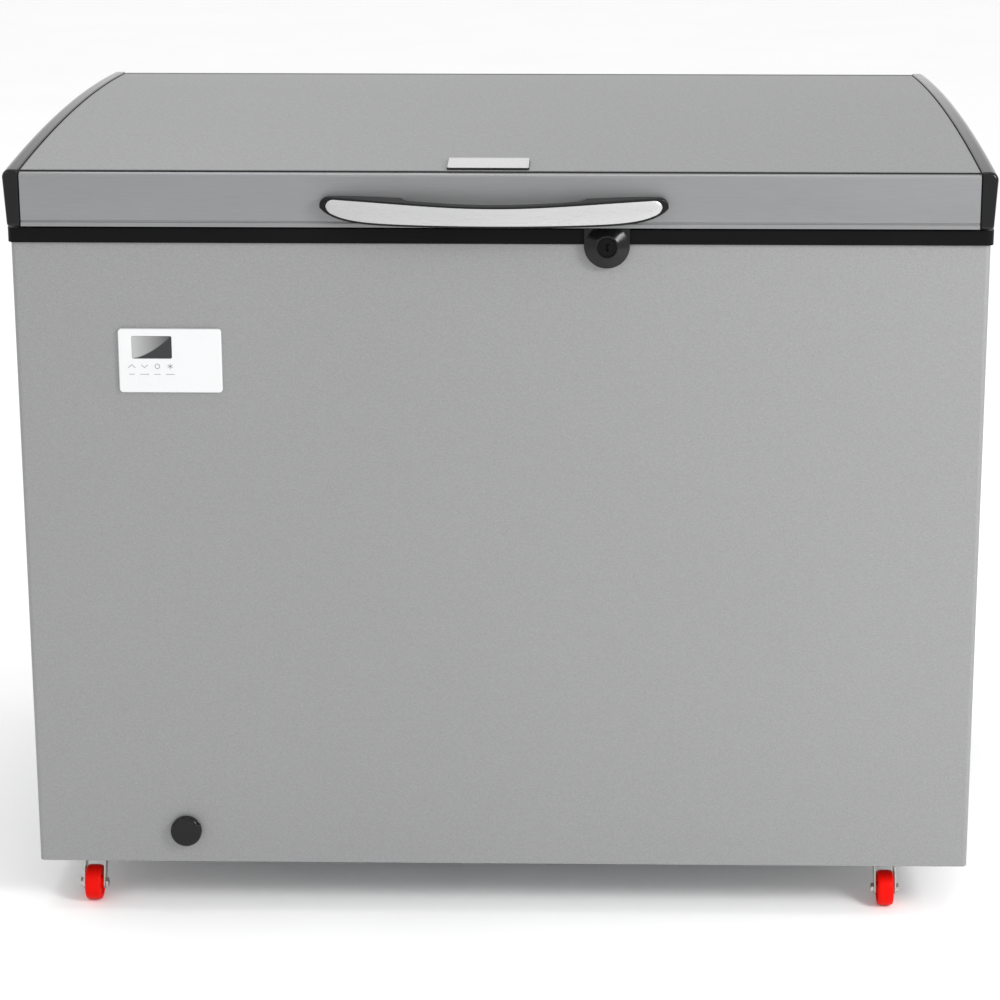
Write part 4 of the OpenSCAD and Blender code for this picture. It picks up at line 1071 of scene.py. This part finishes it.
def make_tub_liner():
    """One white moulding: walls, the step over the machine bay, and the floor, edges rounded."""
    wall = WALL + LINER_T
    lx, y0, y1, r = half_w - wall, front_y + wall, rear_y - wall, 23.8
    bay_top, bay_wall = base_z + 225, 65
    floor, step_x, step_z = base_z + wall, 228.8, bay_top + bay_wall + LINER_T
    curve = [math.radians(t) for t in (20, 45, 70, 90)]
    levels = [(shell_top - 10, lx), (step_z + 9, lx)]
    levels += [(step_z + 9 - 8 * math.sin(t) - 0.001, lx - 8 + 8 * math.cos(t)) for t in curve]
    levels += [(step_z + 0.4, step_x + 6)]
    levels += [(step_z + 0.4 - 5 * (1 - math.cos(t)), step_x + 6 - 6 * math.sin(t))
               for t in (math.radians(30), math.radians(60), math.radians(90))]
    levels += [(floor + 14, step_x)]
    rings = [[(u, v, z) for u, v in round_rect(-lx, x1, y0, y1, r, 7)] for z, x1 in levels]
    for t in curve:
        outline = inset(round_rect(-lx, step_x, y0, y1, r, 7), 12 * (1 - math.cos(t)))
        rings.append([(u, v, floor + 12 * (1 - math.sin(t))) for u, v in outline])
    tub = Shape().rings(rings).piece(
        "tub_liner", liner_white, "cabinet", ["inner_liner"], sharp=50)

    # The mouth is opened, and the skin gets the sheet's thickness
    b = bmesh.new()
    b.from_mesh(tub.data)
    mouth = max(b.faces, key=lambda f: f.calc_center_median().z if len(f.verts) > 4 else -1)
    bmesh.ops.delete(b, geom=[mouth], context="FACES_ONLY")
    b.to_mesh(tub.data)
    b.free()
    sheet = tub.modifiers.new("sheet", "SOLIDIFY")
    sheet.thickness, sheet.offset = 1.1 * MM, -1
    low, high = span("liner_drain_plug")
    x, y = (low.x + high.x) / 2, (low.y + high.y) / 2
    carve(tub, Shape().turned(x, y, [(8.5, floor - 6), (8.5, floor + 4)], n=32), 50)
    tub.modifiers.clear()


def make_basket():
    """Coated wire basket: wires bent down a wall, across and up again, three rails, and hooks."""
    low, high = span("basket_walls")
    w = 1.8
    x0, x1 = low.x + w + 0.6, high.x - w - 0.6
    y0, y1 = low.y + 14.0, high.y - 14.0
    z0, top = span("basket_floor")[0].z + w, high.z - w
    wires = Shape()

    def bent(a, b, c, d, r=7.0, n=5):
        """Way a-b-c-d with its two corners rounded."""
        a, b, c, d = Vector(a), Vector(b), Vector(c), Vector(d)
        way = [a]
        for p, q, s in ((a, b, c), (b, c, d)):
            u, v = q + (p - q).normalized() * r, q + (s - q).normalized() * r
            way += [u * (1 - t) ** 2 + q * 2 * t * (1 - t) + v * t * t
                    for t in (k / n for k in range(n + 1))]
        return way + [d]

    inner_x0, inner_x1, inner_y0, inner_y1 = x0 + 2.4, x1 - 2.4, y0 + 3, y1 - 3
    for i in range(9):
        x = x0 + 7 + (x1 - x0 - 14) * i / 8
        wires.tube(bent((x, inner_y0, top), (x, inner_y0, z0), (x, inner_y1, z0),
                        (x, inner_y1, top)), w)
    for i in range(19):
        y = y0 + 14 + (y1 - y0 - 28) * i / 18
        wires.tube(bent((inner_x0, y, top - 0.6), (inner_x0, y, z0 + 2.6), (inner_x1, y, z0 + 2.6),
                        (inner_x1, y, top - 0.6)), w)
    for z, r in ((z0 + 8, w), ((z0 + top) / 2, w), (top - 2, w * 1.1)):
        path = [(u, v, z) for u, v in round_rect(x0 + 0.3, x1 - 0.3, y0 + 0.6, y1 - 0.6, 6, 5)]
        wires.tube(path, r, closed=True)
    for x in (x0 + 37, x1 - 37):
        for inner, outer in ((y0 + 5, low.y + w), (y1 - 5, high.y - w)):
            wires.tube([(x, inner, top), (x, outer, top)], w)
    wires.piece(
        "basket_wires", wire_white, "basket", ["basket_floor", "basket_walls"], sharp=60)


make_lid_top()
make_fascia()
make_side_trims()
make_lid_liner()
make_gasket()
make_badge()
make_handle()
make_lock()
make_controls()
make_drain_cap()
for corner in CORNERS:
    make_caster(corner)
make_caster_plates()
make_screws()
make_service_cover()
make_tub_liner()
make_basket()


# ---------- camera, light and floor, in metres ----------

SENSOR = 36  # millimetres; the lens is in sensor widths
LENS, SHIFT = 2.83, (-0.05, -0.13)
CAMERA_PLACE, PITCH, YAW = (0.106, -3.30, 1.403), 0.2521, -0.0175
FLOOR_R = 14
# Place, target, width and height, watts
SOFTBOXES = {
    "softbox_left": ((-1.87, -1.9, 1.8), (0, -0.3, 0.6), (0.55, 0.55), 3),
    "softbox_right": ((2.1, -1.9, 1.8), (0, -0.3, 0.6), (0.9, 0.9), 54),
    "softbox_top": ((0, -0.4, 3.6), (0, 0, 0.5), (1.6, 0.9), 16),
    "softbox_rear": ((-0.8, 2.2, 3.4), (0, 0.3, 0.5), (1.0, 1.0), 12),
}


def make_camera():
    """At the photograph's viewing angle; its large shift is partly given up."""
    data = bpy.data.cameras.new("camera")
    data.sensor_width = SENSOR
    data.lens = LENS * SENSOR
    data.shift_x, data.shift_y = SHIFT
    cam = bpy.data.objects.new("camera", data)
    cam.location = CAMERA_PLACE
    cam.rotation_euler = (math.pi / 2 - PITCH, 0, -YAW)
    data.clip_end = 100
    bpy.context.scene.collection.objects.link(cam)
    bpy.context.scene.camera = cam


def make_softbox(name, place, target, size, watts):
    data = bpy.data.lights.new(name, "AREA")
    data.shape, (data.size, data.size_y), data.energy = "RECTANGLE", size, watts
    lamp = bpy.data.objects.new(name, data)
    lamp.location = place
    bpy.context.scene.collection.objects.link(lamp)
    lamp.rotation_euler = (Vector(target) - lamp.location).to_track_quat("-Z", "Y").to_euler()


def make_stage():
    scene = bpy.context.scene
    scene.view_settings.view_transform = "Standard"
    world = bpy.data.worlds.new("studio")
    world.use_nodes = True
    world.node_tree.nodes["Background"].inputs["Color"].default_value = (1, 1, 1, 1)
    scene.world = world
    for name, (place, target, size, watts) in SOFTBOXES.items():
        make_softbox(name, place, target, size, watts)
    disc = bpy.data.meshes.new("floor")
    b = bmesh.new()
    bmesh.ops.create_circle(b, cap_ends=True, segments=96, radius=FLOOR_R)
    b.to_mesh(disc)
    b.free()
    floor = bpy.data.objects.new("floor", disc)
    scene.collection.objects.link(floor)
    f = Finish("studio_floor", (0.955, 0.955, 0.955), 0.7)
    f.shade(f.noise(3, 2.0), 0.01)
    disc.materials.append(f.material)


make_camera()
make_stage()
